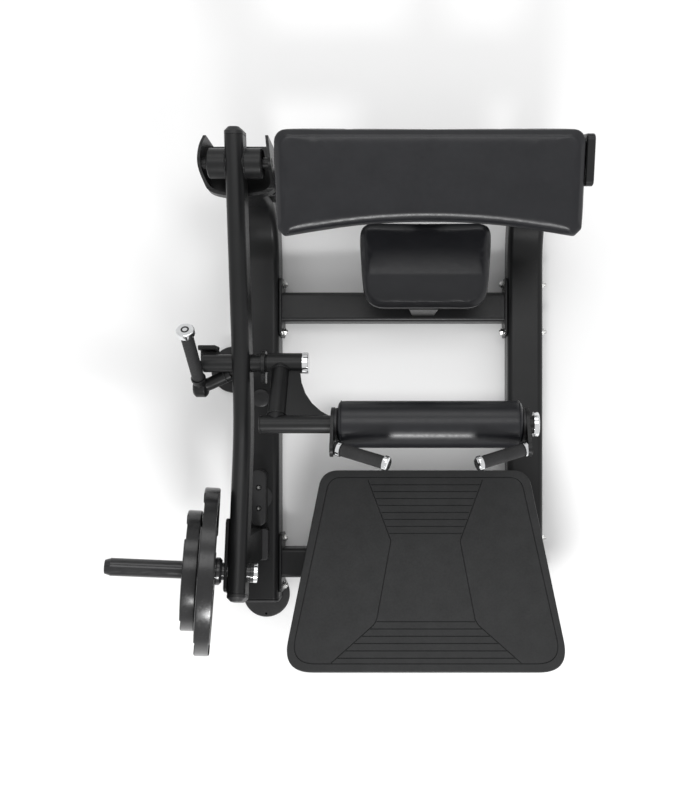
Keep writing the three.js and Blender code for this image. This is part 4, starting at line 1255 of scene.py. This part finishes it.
def add_back_pad():
    """Flat top, chamfered sides and rear, and a front rolled to a large radius."""
    roll, nose = 30, 7
    levels = [(pad_outline(9), -PAD_THICK + 1), (pad_outline(0.5, -nose), -PAD_THICK + 9)]
    for w in (-roll, -23, -17, -12, -8, -4.5, -2, -0.6):
        side = max(0.5, 0.5 + 16 * (w + 16) / 16)
        front = roll - nose - math.sqrt(roll**2 - (w + roll) ** 2)
        levels.append((pad_outline(side, front), w))
    pad = layered("back_pad_cushion", levels, TO_METRES)
    cushion(pad, "back_pad", 1.2 * MM, 1, PAD_PLACE)
    seam = pad_outline(1.5, -nose + 1.5)
    piping("back_pad_seam", seam, PAD_FRAME, -PAD_THICK + 11, "back_pad")
    keep_cad("back_pad_plywood", "back_pad_board", 1.5, 2)
    keep_cad("back_pad_frame", "back_pad_carrier", 2)
    keep_cad("back_pad_mast_tube", "back_pad_mast", 1.5, 2)


SEAT_FRONT, SEAT_REAR, SEAT_MIDDLE = 360, 594, 52.7
SEAT_FRONT_HALF, SEAT_REAR_HALF = 172.5, 186.5
SEAT_BEND, SEAT_DROP = 448, 21
SEAT_FIXED, SEAT_SHEAR = 280, 30


def seat_outline(inset):
    """Wider at the rear, with the larger corners in front."""
    corners = []
    for side in (-1, 1):
        front = SEAT_MIDDLE + side * (SEAT_FRONT_HALF - inset)
        corners.append((front, SEAT_FRONT + inset, max(62 - inset, 20)))
    for side in (1, -1):
        rear = SEAT_MIDDLE + side * (SEAT_REAR_HALF - inset)
        corners.append((rear, SEAT_REAR - inset, max(36 - inset, 14)))
    return rounded_polygon(corners)


def add_seat():
    """A pad with chamfered edges. In front of a bend line it slopes down, fixed at its base."""
    levels = [
        (seat_outline(5), 267),
        (seat_outline(-3), 274),
        (seat_outline(-3), 312),
        (seat_outline(12), 327),
        (seat_outline(30), 328),
    ]
    seat = layered("seat_cushion", levels, PLAN)
    remesh(seat)
    bend_line, front = at(0, SEAT_BEND, 0).y, at(0, SEAT_FRONT, 0).y
    for vertex in seat.data.vertices:
        height = (vertex.co.z / MM - SEAT_FIXED) / SEAT_SHEAR
        if vertex.co.y < bend_line and height > 0:
            along = (bend_line - vertex.co.y) / (bend_line - front)
            vertex.co.z -= SEAT_DROP * MM * along * min(height, 1)
    cushion(seat, "seat_pad", 1.5 * MM, 2)
    piping("seat_seam", seat_outline(-1.5), PLAN, 279, "seat_pad")
    keep_cad("seat_pan_board", "seat_pan", 1, 2)
    keep_cad("seat_post_weldment", "seat_post", 2, 2)


ROLLER_X, ROLLER_LENGTH, ROLLER_RADIUS = -184, 490, 65


def add_roller():
    """A foam roller in vinyl: a crowned barrel with stitched seams and covered ends."""
    length, radius, bore = ROLLER_LENGTH, ROLLER_RADIUS, 26.2
    barrel = [
        (bore, 1),
        (radius - 13, 1),
        (radius - 5.5, 4),
        (radius - 2.4, 11),
        (radius - 2.0, 30),
        (radius - 2.0, length - 30),
        (radius - 2.4, length - 11),
        (radius - 5.5, length - 4),
        (radius - 13, length - 1),
        (bore, length - 1),
        (bore, 1),
    ]
    roller = across("hip_roller_cushion", barrel, ROLLER_X, BAR_Y, BAR_Z, 128)
    cushion(roller, "hip_roller_pad", 1.4 * MM, 3)
    left, right = ROLLER_X, ROLLER_X + length
    for name, x in (("left", left + 9), ("right", right - 9)):
        seam_ring(f"roller_seam_{name}", at(x, BAR_Y, BAR_Z), radius - 2.4, "hip_roller_pad")
    under = BAR_Z - radius + 1.6
    seam_line = [at(x, BAR_Y, under) for x in np.linspace(left + 12, right - 12, 60)]
    cord = sweep("roller_long_seam", circle(THREAD_RADIUS * MM, 8), along_path(seam_line))
    detail(cord, THREAD, "hip_roller_pad", angle=180)


add_back_pad()
add_seat()
add_roller()


# ---- foot plate ---------------------------------------------------------------------------
FOOT_TILT = math.radians(-14.8)
FOOT_PLACE = Matrix.Translation(at(54, -392, 262)) @ Matrix.Rotation(FOOT_TILT, 4, "X")
FOOT_FRAME = FOOT_PLACE @ TO_METRES
FOOT_HALF, FOOT_REAR, FOOT_FRONT = 293, 308, 409


def foot_outline(inset):
    """Wider at the front, with the larger corners there."""
    front, rear, half = FOOT_FRONT - inset, FOOT_REAR - inset, FOOT_HALF - inset
    front_corner, rear_corner = 74 - inset * 0.6, 58 - inset * 0.6
    return rounded_polygon(
        [
            (-front, -half, front_corner),
            (front, -half, front_corner),
            (rear, half, rear_corner),
            (-rear, half, rear_corner),
        ]
    )


# Grooves of the mat, in millimetres from the middle of its face. Two lines run from the rear to a
# neck, and two more go on from there, straight to a rounded knee and straight on to the front.
MAT_REAR, MAT_NECK, MAT_KNEE, MAT_FRONT = (170, 262), (101, 80), (142, -155), (269, -267)
KNEE_ROUND = 18
SPLAYED = [MAT_REAR, MAT_NECK]
WAISTED = [MAT_NECK, *rounded_corner(MAT_NECK, MAT_KNEE, MAT_FRONT, KNEE_ROUND, 6), MAT_FRONT]
# Cross ribs between a pair of lines: the lines, the first rib's place, the pitch and the number.
RIBS = ((SPLAYED, 247, 20.75, 8), (WAISTED, -152, 20.3, 6))
RIB_GAP = 3
BORDER = 24
GROOVE_HALF, GROOVE_FLOOR, GROOVE_DEPTH = 1.9, 0.3, 2.2


def half_width(line, v):
    """How far a line of grooves is from the mat's middle, at one place along the mat."""
    for (u0, v0), (u1, v1) in zip(line, line[1:]):
        if v1 <= v <= v0:
            return u0 + (u1 - u0) * (v0 - v) / (v0 - v1)
    raise ValueError("the line has no such place")


def groove(points, closed=False):
    """A V-shaped cutter along points on the mat's face."""
    floor = [(GROOVE_FLOOR, -GROOVE_DEPTH), (-GROOVE_FLOOR, -GROOVE_DEPTH)]
    section = [(-GROOVE_HALF, 1), (GROOVE_HALF, 1), *floor]
    count = len(points)
    rings = []
    for i, point in enumerate(points):
        before, after = (i - 1, (i + 1) % count) if closed else (max(i - 1, 0), min(i + 1, count - 1))
        way = (Vector(points[after]) - Vector(points[before])).normalized()
        side = Vector((way.y, -way.x))
        rings.append([(*(Vector(point) + side * s), w) for s, w in section])
    return loft("groove", rings, wrap=closed)


def add_foot_mat():
    """A rubber mat with a pressed border, two splayed and two waisted lines, and cross ribs."""
    tools = [groove(foot_outline(BORDER), closed=True)]
    for side in (-1, 1):
        for line in (SPLAYED, WAISTED):
            tools.append(groove([(side * u, v) for u, v in line]))
    for line, first, pitch, count in RIBS:
        for i in range(count):
            v = first - pitch * i
            reach = half_width(line, v) - RIB_GAP
            tools.append(groove([(-reach, v), (reach, v)]))
    mat = soften(prism("foot_mat_sheet", foot_outline(2), -8, 0), 1.6, 3)
    for tool in tools:
        combine(mat, tool)
    mat.data.transform(FOOT_FRAME)
    dress(mat, MAT, "foot_mat", angle=25)


def add_foot_plate():
    add_foot_mat()
    outer = foot_outline(0)
    levels = [
        (foot_outline(3), -38.3),
        (outer, -35),
        (outer, -11.5),
        (foot_outline(1.2), -9.2),
        (foot_outline(3), -8.3),
    ]
    pan = layered("foot_plate_pan_skin", levels, FOOT_FRAME)
    combine(pan, prism("hollow", foot_outline(16), -60, -12.3, FOOT_FRAME))
    dress(soften(pan, 0.8 * MM, 2, 50), COAT, "foot_plate_pan")
    for side in ("left", "right"):
        node = f"{side}_foot_plate_bracket"
        keep_cad(node + "_weldment", node, 2, 2)


add_foot_plate()
